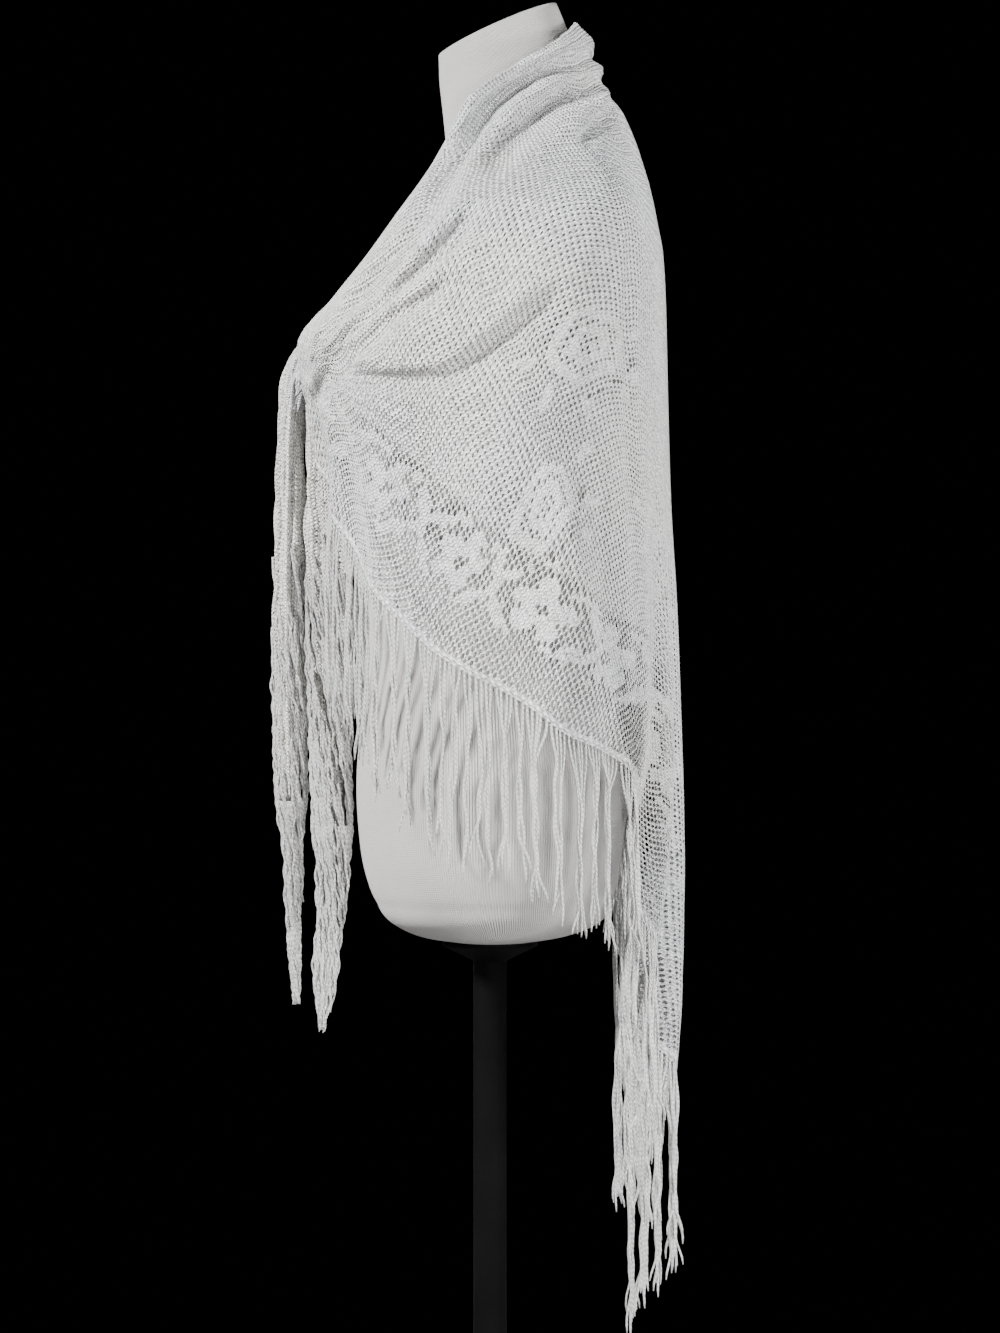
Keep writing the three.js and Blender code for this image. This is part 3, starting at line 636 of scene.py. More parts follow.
def net_arrays(cells, hole, tall, slant, place):
    """Points, triangles and flat coordinates of a net: one mesh each cell, solid where hole is 0."""
    i, j = cells.T
    low, span = int(j.min()), int(np.ptp(j)) + 3
    corners = np.stack([(i + a) * span + j + b - low for a, b in ((0, 0), (1, 0), (1, 1), (0, 1))], 1)
    used, index = np.unique(corners, return_inverse=True)
    index = index.reshape(corners.shape)
    corner_p, corner_q = used // span * CELL, (used % span + low) * CELL
    points = [place(corner_p, corner_q, YARN_LIFT)]
    flats = [np.stack([corner_p, corner_q], 1) / CELL]
    open_cells = np.nonzero(hole > 0)[0]
    size = hole[open_cells][:, None] * CELL / 2
    rim_q = size * tall[open_cells][:, None] * np.sin(HOLE_TURNS)
    rim_p = size * np.cos(HOLE_TURNS) + slant[open_cells][:, None] * rim_q
    rim_p = rim_p + (i[open_cells][:, None] + 0.5) * CELL
    rim_q = rim_q + (j[open_cells][:, None] + 0.5) * CELL
    points.append(place(rim_p.ravel(), rim_q.ravel(), -RIM_DROP))
    flats.append(np.stack([rim_p.ravel(), rim_q.ravel()], 1) / CELL)
    rim = len(used) + np.arange(len(open_cells) * 8).reshape(-1, 8)
    corner = index[open_cells]
    faces = []
    for c in range(4):
        # Corner c lies outside two rim points, counted round from the +p side; the next corner
        # lies outside the two from beyond on.
        before = (2 * c + 4) % 8
        after, beyond, following = before + 1, (before + 2) % 8, (c + 1) % 4
        faces.append(np.stack([corner[:, c], rim[:, after], rim[:, before]], 1))
        faces.append(np.stack([corner[:, c], corner[:, following], rim[:, beyond]], 1))
        faces.append(np.stack([corner[:, c], rim[:, beyond], rim[:, after]], 1))
    closed = np.nonzero(hole <= 0)[0]
    middle = len(used) + len(open_cells) * 8 + np.arange(len(closed))
    mid_p, mid_q = (i[closed] + 0.5) * CELL, (j[closed] + 0.5) * CELL
    points.append(place(mid_p, mid_q, -SOLID_DIP))
    flats.append(np.stack([mid_p, mid_q], 1) / CELL)
    for c in range(4):
        faces.append(np.stack([index[closed, c], index[closed, (c + 1) % 4], middle], 1))
    return np.concatenate(points), np.concatenate(faces), np.concatenate(flats)


def joined(*parts):
    """Several (points, triangles, flats) as one."""
    points, faces, flats = zip(*parts)
    starts = np.cumsum([0] + [len(part) for part in points[:-1]])
    faces = [part + start for part, start in zip(faces, starts)]
    return tuple(np.concatenate(field) for field in (points, faces, flats))


# The border and the sprays are drawn as how much of each mesh they fill, from 0 to 1, in
# millimetres about a flower's middle.
BORDER_REPEAT = 84.0
BORDER_MIDDLE = 64.0
NET_EDGE = 34.0  # the plain outer net between the border and the hem
GROUND_FROM = 94.0
SOLID_HOLE = 0.12  # holes as shares of a mesh; under LEAST_HOLE a mesh is closed
LEAST_HOLE = 0.2
GROUND_HOLE = 0.53
BORDER_HOLE = 0.68
HEM_HOLE = 0.79
EYELET_HOLE = 0.8
ROSE_EYELET_HOLE = 0.9
EDGE_CLOSED = 5.0  # closed meshes along the hem, under the selvedge
GATHERED_FROM = 380  # nearer the knot than this flat p the holes are drawn smaller
BORDER_FROM = (60, 84)  # the border fades out towards the tip between these flat p


def blob(u, v, at_u, at_v, turn, long, wide):
    """An oval patch: above 0 inside it, at its edge 0."""
    c, s = math.cos(turn), math.sin(turn)
    lengthwise = ((u - at_u) * c + (v - at_v) * s) / long
    off = (-(u - at_u) * s + (v - at_v) * c) / wide
    return 1 - lengthwise**2 - off**2


def flower(u, v, size, count, turn=0.0):
    """Separate rounded petals round an open eye."""
    filled = np.full(np.shape(u), -9.0)
    for k in range(count):
        a = turn + 2 * math.pi * k / count
        at = 0.6 * size
        filled = np.maximum(
            filled, blob(u, v, at * math.cos(a), at * math.sin(a), a, 0.42 * size, 1.6 * size / count)
        )
    return filled


# Leaves and buds between the border's flowers: place, turn, half length and half width.
BORDER_LEAVES = (
    (30, -15, 0.7, 12, 5.2),
    (32, 13, -0.6, 11, 5.0),
    (42, 0, 1.57, 8, 4.6),
    (20, 24, 0.3, 9, 4.4),
    (21, -26, -0.2, 8.5, 4.2),
)
SPRAY_LEAVES = (
    (36, 18, 0.6, 10, 4.6),
    (-33, 23, 2.4, 10, 4.6),
    (10, 39, 1.3, 9, 4.4),
    (41, -12, -0.4, 8, 4.2),
    (-40, -9, 3.5, 8, 4.2),
    (-22, 40, 2.0, 6, 4.2),
)


def border_fill(u, v):
    """The border's motif: above 0 where its meshes are filled."""
    filled = flower(u, v, 23.0, 5, 0.3)
    for leaf in BORDER_LEAVES:
        filled = np.maximum(filled, np.maximum(blob(u, v, *leaf), blob(-u, v, *leaf)))
    return filled


def rose(u, v, size):
    """Scalloped rings round a bud."""
    r, a = np.hypot(u, v), np.arctan2(v, u)
    ring = (r + 0.11 * size * np.abs(np.sin(2.5 * a + 0.4))) / size
    rings = np.clip(0.7 + 1.1 * np.cos(2 * np.pi * ring / 0.42), 0, 1)
    return rings * smooth(1.12 - ring, 0, 0.12)


# Roses in the ground: middle in flat p and q, and half width.
ROSES = (
    (164, 316, 29),
    (240, 396, 26),
    (84, 448, 26),
    (14, 590, 25),
    (70, 640, 22),
)


def lace_pattern(p, q, hem_gap, hem_run):
    """Hole size of each mesh as a share of the mesh."""
    ripple = np.sin(p / 31.0 + 1.7) * np.sin(q / 23.0) * 0.035
    near_knot = smooth(p, GATHERED_FROM, P_KNOT)
    hole = GROUND_HOLE + ripple - 0.14 * near_knot - 0.08 * smooth(60 - q, 0, 50)
    chance = scatter(p, q)
    u = (hem_run + BORDER_REPEAT / 2) % BORDER_REPEAT - BORDER_REPEAT / 2
    motif = border_fill(u, hem_gap - BORDER_MIDDLE)
    outline = np.exp(-(((motif + 0.45) / 0.4) ** 2))
    open_mesh = BORDER_HOLE + 0.1 * chance + 0.14 * outline - 0.2 * near_knot
    banded = np.where(motif > 0, SOLID_HOLE + 0.14 * chance, open_mesh)
    eyelets = (np.abs(hem_gap - GROUND_FROM + 2) < 2.4) | (np.abs(hem_gap - NET_EDGE - 2) < 2.4)
    banded = np.where(eyelets, EYELET_HOLE - 0.2 * near_knot, banded)
    in_band = smooth(hem_gap, NET_EDGE - 1, NET_EDGE + 1) * smooth(GROUND_FROM + 1 - hem_gap, 0, 2)
    in_band = in_band * smooth(p, *BORDER_FROM)
    for at_p, at_q, size in ROSES:
        rose_u, rose_v = 0.8 * (p - at_p), q - at_q
        far = np.hypot(rose_u, rose_v)
        filled = rose(rose_u, rose_v, size)
        for leaf in SPRAY_LEAVES:
            filled = np.maximum(filled, smooth(blob(rose_u, rose_v, *leaf), -0.1, 0.3))
        loose = smooth(58 - far, 0, 16) * 0.05 * (0.4 + chance)
        hole = mix(hole + loose, SOLID_HOLE, filled)
        eyelet = (np.abs(far - 1.2 * size) < 2.6) & (rose_v > 0.2 * size) & (rose_u < 0.3 * size)
        hole = np.where(eyelet & (chance > 0.45), ROSE_EYELET_HOLE, hole)
    hole = mix(hole, banded, in_band)
    hole = np.where(hem_gap <= NET_EDGE, HEM_HOLE + 0.5 * ripple - 0.22 * near_knot, hole)
    return np.where((hem_gap < EDGE_CLOSED) | (hole < LEAST_HOLE), 0, hole)


def hem_measures(stretch, points):
    """Each point's distance from the hem, and how far along the hem from the tip that is."""
    line = stretch.at(np.linspace(0, P_KNOT, 320), np.ones(320))[0]
    run = lengths(line)
    gap = np.full(len(points), np.inf)
    at = np.zeros(len(points))
    for k in range(0, len(points), 4000):
        part = points[k : k + 4000]
        d = np.linalg.norm(part[:, None, :] - line[None, :, :], axis=2)
        best = d.argmin(1)
        gap[k : k + 4000] = d[np.arange(len(part)), best]
        at[k : k + 4000] = run[best]
    return gap, at


ROLL = 1.15  # radius of the folded neck edge
FOLD_INSIDE = 12.0


def neck_fold(stretch, columns):
    """The top edge turned in: a rolled edge and a strip inside it."""
    p = columns * CELL
    rows, down = [], []
    for turn in np.linspace(0, math.pi, 7):
        base, normal = stretch.at(p, np.zeros(len(p)))
        below = stretch.at(p, np.full(len(p), 0.01))[0]
        up = unit(base - below)
        rows.append(base + normal * ROLL * (math.cos(turn) - 1) + up * ROLL * math.sin(turn))
        down.append(-turn * ROLL)
    for depth in (3.0, 6.0, 9.0, FOLD_INSIDE):
        base, normal = stretch.at(p, depth / stretch.flat_height(p))
        rows.append(base - normal * 2 * ROLL)
        down.append(-math.pi * ROLL - depth)
    points, faces = grid_arrays(np.stack(rows))
    flats = together(p[None, :] / CELL, np.array(down)[:, None] / CELL)
    return points, faces, flats.reshape(-1, 2)


SELVEDGE = 4.8


def selvedge(stretch):
    """The dense knitted edge that the fringe hangs from, rounded on both faces."""
    p = np.linspace(0, P_KNOT, 420)
    hem = stretch.at(p, np.ones(len(p)))[0]
    above = stretch.at(p, np.full(len(p), 0.985))[0]
    run = unit(np.gradient(hem, axis=0))
    column = unit(above - hem)
    slope = np.sqrt(np.clip(1 - (run * column).sum(1) ** 2, 0.15, 1))
    rows, down = [], []
    steps = np.concatenate([np.linspace(0, 1, 7), np.linspace(1, 0, 7)[1:-1]])
    for k, share in enumerate(steps):
        out = math.sin(math.pi * min(max(share, 0.06), 0.94))
        lift = (0.15 + 0.4 * out) if k < 7 else -(0.15 + 0.3 * out)
        uneven = 1 + 0.16 * np.abs((p / 4.2) % 2 - 1)
        back = share * SELVEDGE * uneven / slope / stretch.flat_height(p)
        rows.append(stretch.at(p, 1 - back, np.full(len(p), lift))[0])
        down.append(share * SELVEDGE / CELL)
    grid = np.stack(rows, 1)
    points, faces = grid_arrays(grid, closed=True)
    flats = together(p[:, None] / CELL, np.array(down)[None, :])
    return points, faces, flats.reshape(-1, 2)


def panel(stretch):
    """The lace over one side, from the middle of the back to the knot."""
    columns = int(P_KNOT // CELL)
    sides = stretch.flat_height(np.arange(columns + 1) * CELL)
    heights = np.minimum(stretch.flat_height((np.arange(columns) + 0.5) * CELL), sides[:-1])
    counts = (np.minimum(heights, sides[1:]) // CELL).astype(int)
    cells = np.concatenate([np.column_stack([np.full(n, i), np.arange(n)]) for i, n in enumerate(counts)])
    p, q = (cells[:, 0] + 0.5) * CELL, (cells[:, 1] + 0.5) * CELL
    middles = stretch.at(p, q / stretch.flat_height(p))[0]
    hole = lace_pattern(p, q, *hem_measures(stretch, middles))
    chance = scatter(p, q, by=(3.17, 9.13, 1731.7))
    tall = 0.86 + 0.2 * chance
    slant = 0.34 + 0.2 * (chance - 0.5)

    def place(a, b, lift):
        return stretch.at(a, b / stretch.flat_height(a), lift)[0]

    return net_arrays(cells, hole, tall, slant, place)


UPPER_TO = 225.0  # where each side's net is cut in two, in flat q


def split_panel(stretch, hand):
    """One side's net in two pieces, upper and lower, each with its share of the edges."""
    points, faces, flats = panel(stretch)
    fold = neck_fold(stretch, np.arange(int(P_KNOT // CELL) + 1))
    edge = selvedge(stretch)
    upper = flats[faces].mean(1)[:, 1] * CELL < UPPER_TO
    made = []
    for name, chosen, extra in (("upper", upper, fold), ("lower", ~upper, edge)):
        part = faces[chosen]
        used, index = np.unique(part, return_inverse=True)
        arrays = joined((points[used], index.reshape(part.shape), flats[used]), extra)
        made.append(mesh_piece(f"shawl_{hand}_{name}", arrays, LACE))
    return made


left_upper, left_lower = split_panel(LEFT, "left")
right_upper, right_lower = split_panel(RIGHT, "right")


# Dress form and stand.


# The band bound over the jersey's lower edge, by ring number of the table above.
RIM = dict(at=2.55, wide=0.5, high=1.5, groove=3.45, narrow=0.22, deep=1.1)


FORM_LEVELS = 200
FORM_SIDES = 144
FORM_GIRTH_RADIUS = 150
RIB_PITCH = 2.7
STITCH_PITCH = 1.6


def capped(grid, flats):
    """A closed body from rings of points: both ends shut by a fan."""
    rows, columns = grid.shape[:2]
    points, faces = grid_arrays(grid, closed=True)
    points = np.concatenate([points, [grid[0].mean(0), grid[-1].mean(0)]])
    c = np.arange(columns)
    n, top, middle = (c + 1) % columns, (rows - 1) * columns, np.full(columns, rows * columns)
    fans = [np.stack([n, c, middle], 1), np.stack([top + c, top + n, middle + 1], 1)]
    flats = np.concatenate([flats.reshape(-1, 2), [flats[0, 0], flats[-1, 0]]])
    return points, outward(points, np.concatenate([faces, *fans])), flats


def dress_form():
    """The form's smooth surface, from its underside up."""
    rows = np.column_stack([np.arange(len(FORM_RINGS)), np.array(FORM_RINGS)])
    at = np.linspace(0, len(FORM_RINGS) - 1, FORM_LEVELS)
    yf, zf, yb, zb, half, square = (along(rows, at, c)[:, None] for c in range(1, 7))
    turn = circle(FORM_SIDES)[None, :]
    across = np.sign(np.sin(turn)) * np.abs(np.sin(turn)) ** (2 / square)
    deep = np.sign(np.cos(turn)) * np.abs(np.cos(turn)) ** (2 / square)
    x = -half * across
    y = (yf + yb) / 2 - (yb - yf) / 2 * deep
    z = (zf + zb) / 2 - (zb - zf) / 2 * deep
    aside = (np.abs(x) - BUST["x"]) / BUST["wide"]
    above = (z - BUST["z"]) / BUST["tall"]
    y = y - BUST["reach"] * np.clip(deep, 0, 1) * np.exp(-(aside**2) - above**2)
    grid = np.stack([x, y, z], -1)
    welt = RIM["high"] * np.exp(-(((at - RIM["at"]) / RIM["wide"]) ** 2))
    groove = RIM["deep"] * np.exp(-(((at - RIM["groove"]) / RIM["narrow"]) ** 2))
    grid[..., :2] *= 1 + ((welt - groove) / FORM_GIRTH_RADIUS)[:, None, None]
    ribs = round(2 * math.pi * FORM_GIRTH_RADIUS / RIB_PITCH)
    flats = together(np.arange(FORM_SIDES)[None, :] / FORM_SIDES * ribs, z / STITCH_PITCH)
    return mesh_piece("form_jersey", capped(grid, flats), JERSEY, wrap=ribs)


def turned(name, profile, sides, material):
    """A profile of (radius, height) turned round Z; it starts and ends near the axis."""
    radius, height = profile[:, :1], profile[:, 1:]
    turn = circle(sides)
    grid = together(radius * np.cos(turn), radius * np.sin(turn), height)
    return mesh_piece(name, capped(grid, np.zeros(grid.shape[:2] + (2,))), material)


def rounded(profile, reach, steps=4):
    """The profile with its inner corners rounded by a small curve."""
    profile = np.asarray(profile, float)
    out = [profile[0]]
    for a, b, c in zip(profile[:-2], profile[1:-1], profile[2:]):
        cut = min(reach, np.linalg.norm(b - a) * 0.45, np.linalg.norm(c - b) * 0.45)
        start, end = b - unit(b - a) * cut, b + unit(c - b) * cut
        for t in np.linspace(0, 1, steps + 1):
            out.append((1 - t) ** 2 * start + 2 * t * (1 - t) * b + t * t * end)
    out.append(profile[-1])
    return np.array(out)


# Outlines of the stand's pieces: radius and height.
POLE_PROFILE = (
    (0.5, 10.6), (12.5, 10.6), (12.5, 329.4), (33, 339.4), (36, 340.9), (36, 344.3), (0.5, 344.3),
)
BASE_PROFILE = (
    (0.5, 0.1), (164.6, 0.1), (164.9, 6), (161, 9.9), (25, 9.9), (21, 14), (21, 33.9), (13.1, 33.9),
    (13.1, 10.1), (0.5, 10.1),
)

form = dress_form()
pole = turned("stand_pole_tube", rounded(POLE_PROFILE, 1.2), 64, PAINT)
base = turned("stand_base_plate", rounded(BASE_PROFILE, 1.5), 96, PAINT)


# Cords.

CORD_SIDES = 5
HEM_CORD_STEPS = 26
END_CORD_STEPS = 44


def tubes(paths, radii, sides=CORD_SIDES):
    """Closed tubes along paths (cords, steps, 3), each with a pointed end; one set of arrays."""
    count, steps = paths.shape[:2]
    tangent = unit(np.gradient(paths, axis=1))
    reference = np.broadcast_to(np.array([0.94, 0.3, 0.16]), tangent.shape)
    first = unit(np.cross(tangent, reference))
    second = np.cross(tangent, first)
    turn = (np.arange(sides) * 2 * np.pi / sides)[:, None]
    ring = first[:, :, None] * np.cos(turn) + second[:, :, None] * np.sin(turn)
    points = paths[:, :, None] + ring * radii[:, :, None, None]
    top = (steps - 1) * sides
    caps = [(0, a + 1, a) for a in range(1, sides - 1)]
    caps += [(top, top + a, top + a + 1) for a in range(1, sides - 1)]
    one = np.concatenate([grid_triangles(steps, sides, closed=True), np.array(caps)])
    faces = (one[None] + (np.arange(count) * steps * sides)[:, None, None]).reshape(-1, 3)
    flats = together(np.arange(sides) / sides, lengths(paths)[:, :, None] / CELL)
    points = points.reshape(-1, 3)
    return points, outward(points - points.mean(0), faces), flats.reshape(-1, 2)


def cord_radii(count, steps):
    """Even cords with a thin tip."""
    share = np.linspace(0, 1, steps)
    shape = np.where(share > 0.985, 0.45, 1.0) * (1 - 0.12 * smooth(share, 0.7, 1))
    spread = draw.uniform(0.88, 1.12, count)
    return CORD_RADIUS * spread[:, None] * shape[None, :]


CORD_RADIUS = 0.9
CORD_PITCH = 4.3
FRINGE = 150.0
FRINGE_TO = P_KNOT - 55.0  # nearer the knot the cords lie with those of the ends
BUNCH_SIZES = (2, 5)
MOST_PULL = 13  # how far aside a cord is drawn to the middle of its bunch


def bunches(count):
    """For cords in a row: each one's bunch, and the middle of the bunch in cord numbers."""
    number, middle = np.zeros(count, int), np.zeros(count)
    k = bunch = 0
    while k < count:
        end = min(k + int(draw.integers(BUNCH_SIZES[0], BUNCH_SIZES[1] + 1)), count)
        number[k:end] = bunch
        middle[k:end] = (k + end - 1) / 2 + draw.uniform(-0.5, 0.5)
        k, bunch = end, bunch + 1
    return number, middle


def hem_cords(stretch):
    """Cords looped through the selvedge: they hang straight, then lean together and turn round
    each other in small bunches that wave and fork at their ends."""
    fine = np.linspace(0, 1, 1600)
    line = stretch.at(fine * FRINGE_TO, np.ones(len(fine)), np.full(len(fine), -0.1))[0]
    reach = lengths(line)
    count = int(reach[-1] // CORD_PITCH)
    run = (np.arange(count) + 0.5) / count * reach[-1] + draw.uniform(-0.8, 0.8, count)
    bunch, middle = bunches(count)
    own = draw.uniform(-1, 1, (count, 6)).T[..., None]
    shared = draw.uniform(-1, 1, (bunch.max() + 1, 6))[bunch].T[..., None]
    share = np.linspace(0, 1, HEM_CORD_STEPS)
    root = resample(line, reach, run)
    ahead = resample(line, reach, np.minimum(run + 5, reach[-1]))
    behind = resample(line, reach, np.maximum(run - 5, 0))
    span = (ahead - behind) * [1, 1, 0]
    level = unit(span)
    out = np.stack([level[:, 1], -level[:, 0], 0 * level[:, 0]], 1)
    out = out * np.sign((out * root * [1, 1, 0]).sum(1, keepdims=True))
    spacing = np.linalg.norm(span, axis=1) / 10 * CORD_PITCH
    pull = np.clip((middle - np.arange(count)) * spacing, -MOST_PULL, MOST_PULL)[:, None]
    gather = smooth(share, 0.02, 0.26 + 0.1 * shared[0])
    loose = smooth(share, 0.76, 1.0)
    turn = 3.1 * own[2] + (6.5 + 2.5 * shared[5]) * share
    sway = (
        pull * (0.9 + 0.09 * own[1]) * gather
        + 3.4 * shared[1] * np.sin(share * (4.2 + 1.8 * shared[2]) + shared[3]) * share
        + 1.3 * np.cos(turn) * gather
        + 0.7 * np.sin(25 * share + 3.1 * own[3]) * smooth(share, 0.05, 0.4)
        + 7.0 * own[4] * loose * share
    )
    swell = (
        1.0 * smooth(share, 0, 0.1)
        + 1.5 * shared[4] * np.sin(4.5 * share) * share
        + 1.3 * np.sin(turn) * gather
        + 0.5 * np.cos(17 * share + 3.1 * own[5]) * gather
        + 2.2 * own[5] * loose
    )
    path = root[:, None, :] + level[:, None, :] * sway[..., None] + out[:, None, :] * swell[..., None]
    path[..., 2] -= FRINGE * (0.92 + 0.05 * own[0] + 0.055 * shared[4]) * share
    path[..., 2] += 3.0 * loose * (1 + own[3])
    return tubes(path, cord_radii(count, HEM_CORD_STEPS))


fringe_left = mesh_piece("fringe_left_cords", hem_cords(LEFT), CORD)
fringe_right = mesh_piece("fringe_right_cords", hem_cords(RIGHT), CORD)


# The gathered ends that hang from the knot.

END_COLUMNS = 50
END_WAVE = 7.0  # the net's rows run up and down over the folds
ROLL_TURN = 1.12  # turns of the loose roll, so that its open edge laps over


def end_surface(rows, seed, across, z):
    """A gathered end: the cloth in a loose roll with uneven, slightly twisted folds down it."""
    twist = 0.8 * np.sin((z - 460) / 110 + seed)
    turn = 2 * np.pi * ROLL_TURN * across + 0.4 + seed
    folds = 0.10 * np.cos(7 * turn + twist) + 0.07 * np.cos(12 * turn - 1.4 * twist + seed)
    creases = 0.07 * np.sin(z / 8.0 + 3 * turn) + 0.09 * np.sin(z / 19.0 - 2 * turn + seed)
    out = 0.84 + folds + creases + 0.13 * across
    middle_x, middle_y, half_x, half_y = (along(rows, z, c) for c in range(1, 5))
    x = middle_x + half_x * out * np.cos(turn)
    y = middle_y + half_y * out * np.sin(turn)
    return np.stack([x, y, z + 0 * x], -1)


def end_net(name, rows, seed):
    """Lace of a gathered end, with a plain edge and a solid foot."""
    top, bottom = rows[-1][0], rows[0][0]
    count = int((top - bottom) / CELL)
    column, row = (part.ravel() for part in np.indices((END_COLUMNS, count)))
    edge = np.minimum(column, END_COLUMNS - 1 - column)
    u = (row * CELL + 40) % BORDER_REPEAT - BORDER_REPEAT / 2
    v = (column - END_COLUMNS / 2) * CELL
    hole = np.where(border_fill(u, v) > 0, SOLID_HOLE, 0.34 + 0.16 * scatter(column, row, seed))
    hole = np.where(edge > 8, hole, 0.44)
    hole = hole * (1 - 0.55 * smooth(top - row * CELL, top - 60, top - 10))
    hole = np.where((edge < 1) | (row >= count - 2) | (hole < LEAST_HOLE), 0, hole)

    def place(p, q, lift):
        across = p / (END_COLUMNS * CELL)
        z = top - q * (top - bottom) / (count * CELL)
        z = z + END_WAVE * np.sin(19 * across + seed) * smooth(top - z, 5, 40)
        at = end_surface(rows, seed, across, z)
        ahead = end_surface(rows, seed, across + 0.003, z)
        normal = unit(np.cross(ahead - at, np.array([0, 0, 1.0])))
        return at + normal * lift

    tall, slant = np.full(len(hole), 0.9), np.full(len(hole), 0.2)
    net = net_arrays(np.stack([column, row], 1), hole, tall, slant, place)
    return mesh_piece(name, net, END_LACE)


end_front = end_net("shawl_end_front_lace", FRONT_END, 0.4)
end_back = end_net("shawl_end_back_lace", BACK_END, 2.1)


def end_cords(rows, bunch, count, foot, top_drop):
    """Cords down a gathered end's open edge and, a share of them, round its foot, in a loose,
    turning bunch. The highest starts top_drop below the end's top."""
    top, bottom = rows[-1][0], rows[0][0]
    at_foot = np.arange(count) < foot * count
    drop = draw.uniform(0, 1, count)
    z = np.where(at_foot, bottom + 3, mix(top - top_drop, bottom, drop))[:, None]
    spot = draw.uniform(0, 2 * np.pi, count)[:, None]
    away = np.where(at_foot, np.sqrt(draw.uniform(0.02, 1, count)), 1.0)[:, None]
    own = draw.uniform(-1, 1, (count, 6)).T[..., None]
    share = np.linspace(0, 1, END_CORD_STEPS)
    height = z - FRINGE * (0.98 + 0.05 * own[0]) * share
    turn = spot + 0.012 * (bottom - height)
    above_foot = smooth(height, bottom - 30, bottom + 6)
    spread = mix(away * (0.55 + 0.45 * own[1] ** 2), 1.06, above_foot)
    middle_x, middle_y, half_x, half_y = (along(bunch, height, c) for c in range(1, 5))
    crimp = smooth(share, 0.02, 0.2)
    crimp_x = 0.8 * np.sin(52 * share + 3.1 * own[2]) + 1.2 * np.sin(13 * share + 3.1 * own[3])
    crimp_y = 0.8 * np.cos(47 * share + 3.1 * own[4]) + 1.2 * np.sin(12 * share + 3.1 * own[5])
    x = middle_x + half_x * spread * np.cos(turn) + crimp * crimp_x
    y = middle_y + half_y * spread * np.sin(turn) + crimp * crimp_y
    return tubes(np.stack([x, y, height], -1), cord_radii(count, END_CORD_STEPS))


cords_front = mesh_piece("fringe_end_front_cords", end_cords(FRONT_END, FRONT_BUNCH, 130, 0.45, 140), CORD)
cords_back = mesh_piece("fringe_end_back_cords", end_cords(BACK_END, BACK_BUNCH, 140, 0.3, 95), CORD)


# The knot.


def knot_body():
    height = np.linspace(-1, 1, 46)[:, None]
    turn = circle(96)[None, :]
    girth = (1 - 0.62 * np.abs(height) ** 2.6) ** 0.8
    gathers = 0.10 * np.cos(11 * turn + 2.5 * height) + 0.06 * np.cos(18 * turn - 2.2 * height + 1)
    pull = 0.86 + gathers
    x = KNOT["half_x"] * girth * pull * np.cos(turn)
    y = KNOT["y"] + KNOT["lean"] * height + KNOT["half_y"] * girth * pull * np.sin(turn)
    z = KNOT["z"] + KNOT["half_z"] * height + 0 * turn
    return capped(together(x, y, z), together(turn * 5, height * 9))


def knot_wrap():
    """The band of cloth that goes round the knot's waist, gathered lengthwise."""
    turn = circle(110)[:, None]
    section = circle(40)[None, :]
    slant = 12.5 * np.sin(turn) + 4 * np.cos(turn)
    fat = 1 + 0.15 * np.cos(9 * section + 1.5 * np.cos(turn)) + 0.08 * np.cos(14 * section + 2 * turn)
    rise = 10.5 * fat * np.sin(section)
    out = 2.3 * fat * np.cos(section)
    x = (KNOT["half_x"] - 2.6 + out) * np.cos(turn)
    y = KNOT["y"] + 3 + (KNOT["half_y"] - 3.5 + out) * np.sin(turn)
    z = KNOT["z"] + slant + rise
    points, faces = grid_arrays(together(x, y, z), closed=True, ring=True)
    return points, outward(points - points.mean(0), faces), together(turn * 6, section * 3).reshape(-1, 2)


knot = mesh_piece("shawl_knot_body", knot_body(), LACE)
wrap = mesh_piece("shawl_knot_wrap", knot_wrap(), LACE)


# What each piece stands for.

for piece, slot, *nodes in (
    (left_upper, "shawl_lace", "shawl_left", "shawl_back"),
    (left_lower, "shawl_lace"),
    (right_upper, "shawl_lace", "shawl_right"),
    (right_lower, "shawl_lace"),
    (knot, "shawl_lace", "shawl_knot"),
    (wrap, "shawl_lace"),
    (end_front, "shawl_lace", "shawl_end_front"),
    (end_back, "shawl_lace", "shawl_end_back"),
    (fringe_left, "fringe_cord", "fringe_left"),
    (fringe_right, "fringe_cord", "fringe_right"),
    (cords_front, "fringe_cord", "fringe_end_front"),
    (cords_back, "fringe_cord", "fringe_end_back"),
    (form, "form_jersey", "form_body"),
    (pole, "stand_paint", "stand_pole"),
    (base, "stand_paint", "stand_base"),
):
    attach(piece, "root")
    if nodes:
        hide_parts(*nodes)


# The cut of each stretch of cloth, as flat width and length in metres, and its flat area.

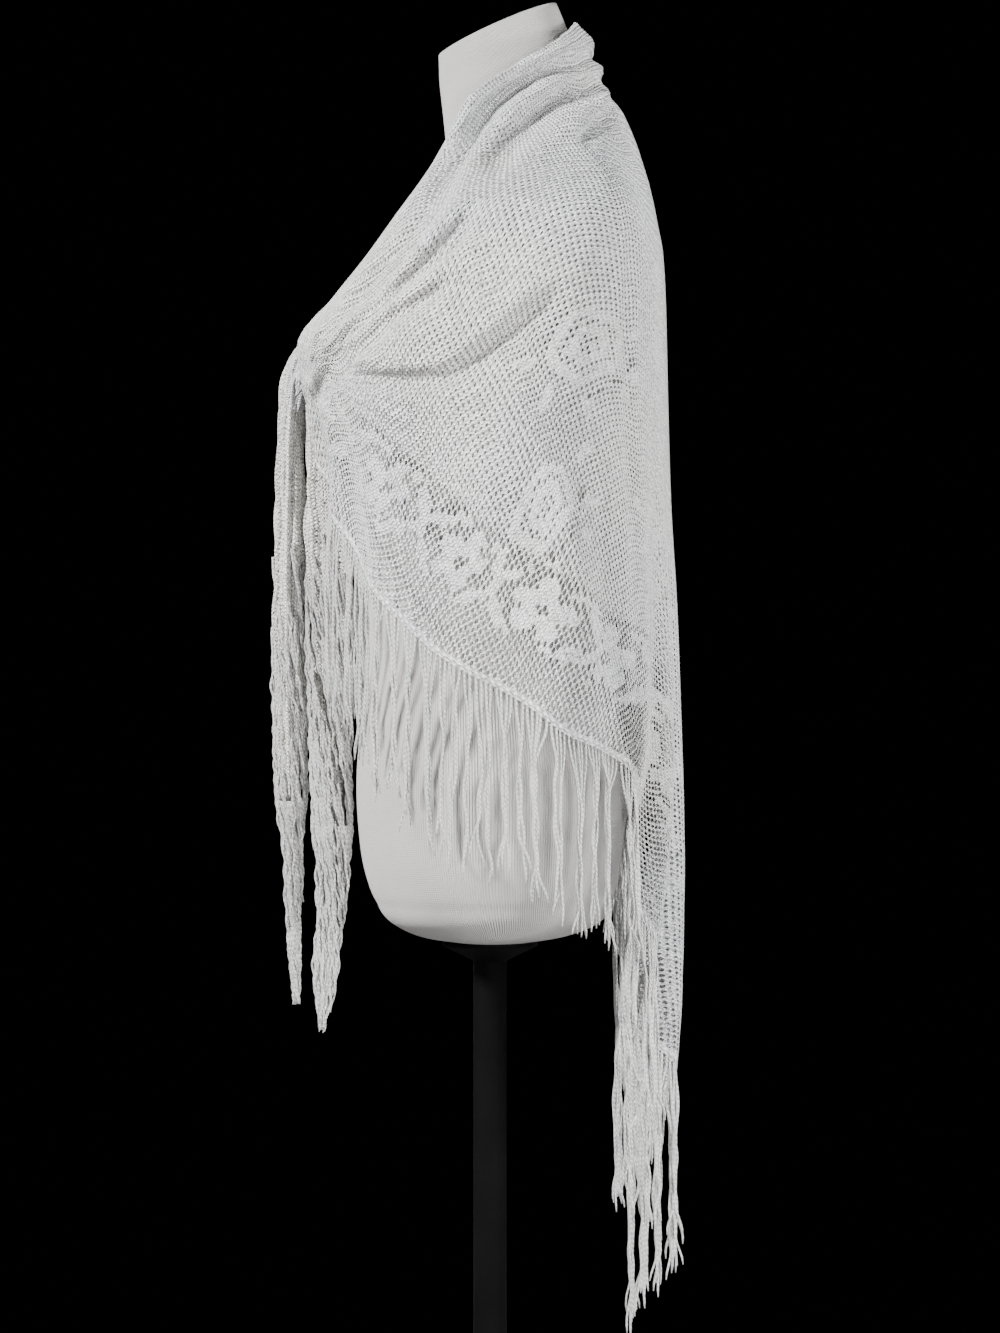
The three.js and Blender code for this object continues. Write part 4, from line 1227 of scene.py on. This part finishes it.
for piece, flat, area, held, hem in (
    (left_upper, (0.52, 0.225), 0.108, "draped", []),
    (left_lower, (0.48, 0.635), 0.16, "draped", [fringe_left]),
    (right_upper, (0.52, 0.225), 0.108, "draped", []),
    (right_lower, (0.48, 0.635), 0.16, "draped", [fringe_right]),
    (end_front, (0.207, 0.306), 0.033, "gathered", [cords_front]),
    (end_back, (0.207, 0.317), 0.033, "gathered", [cords_back]),
):
    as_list(hem)


# Floor, camera and light.

FLOOR_RADIUS = 330
FLOOR_DROP = 0.3
floor_turn = circle(96)[None, :]
floor_radius = np.array([[1], [FLOOR_RADIUS]])
floor_grid = together(floor_radius * np.cos(floor_turn), floor_radius * np.sin(floor_turn), -FLOOR_DROP)
floor = mesh_piece("floor", (*grid_arrays(floor_grid, closed=True), None), floor_material("floor"))

CAMERA_AT = (3.6, 0.0075, 0.5501)
SENSOR = 36
SEEN = 1.0  # how much of the part's plane the picture's height takes in, in metres
camera = bpy.data.objects.new("camera", bpy.data.cameras.new("camera"))
bpy.context.scene.collection.objects.link(camera)
camera.location = CAMERA_AT
camera.rotation_euler = Vector((-1, 0, 0)).to_track_quat("-Z", "Y").to_euler()
camera.data.sensor_width = SENSOR
camera.data.lens = SENSOR * CAMERA_AT[0] / SEEN
camera.data.clip_end = 50
bpy.context.scene.camera = camera

world = bpy.data.worlds.new("dark")
world.use_nodes = True
world.node_tree.nodes["Background"].inputs[0].default_value = (0, 0, 0, 1)
bpy.context.scene.world = world


for name, at, towards, size, power in (
    ("key", (1.9, -2.3, 2.0), (0, 0, 0.68), 0.35, 350),
    ("camera_side", (3.3, 0.7, 0.5), (0, 0, 0.52), 0.6, 90),
    ("fill", (1.8, 2.6, 0.3), (0, 0, 0.44), 1.0, 150),
    ("front", (-0.6, -2.7, 1.2), (0, 0, 0.6), 1.2, 40),
    ("top", (0.3, 0.2, 2.6), (0, 0, 0.8), 1.0, 6),
    ("behind", (-0.8, 2.6, 1.2), (0, 0, 0.6), 1.4, 45),
    ("far", (-2.6, -0.4, 1.3), (0, 0, 0.6), 1.4, 100),
):
    light = bpy.data.lights.new(name, "AREA")
    light.size = size
    light.energy = power
    lamp = bpy.data.objects.new(name, light)
    lamp.location = at
    lamp.rotation_euler = (Vector(towards) - Vector(at)).to_track_quat("-Z", "Y").to_euler()
    bpy.context.scene.collection.objects.link(lamp)
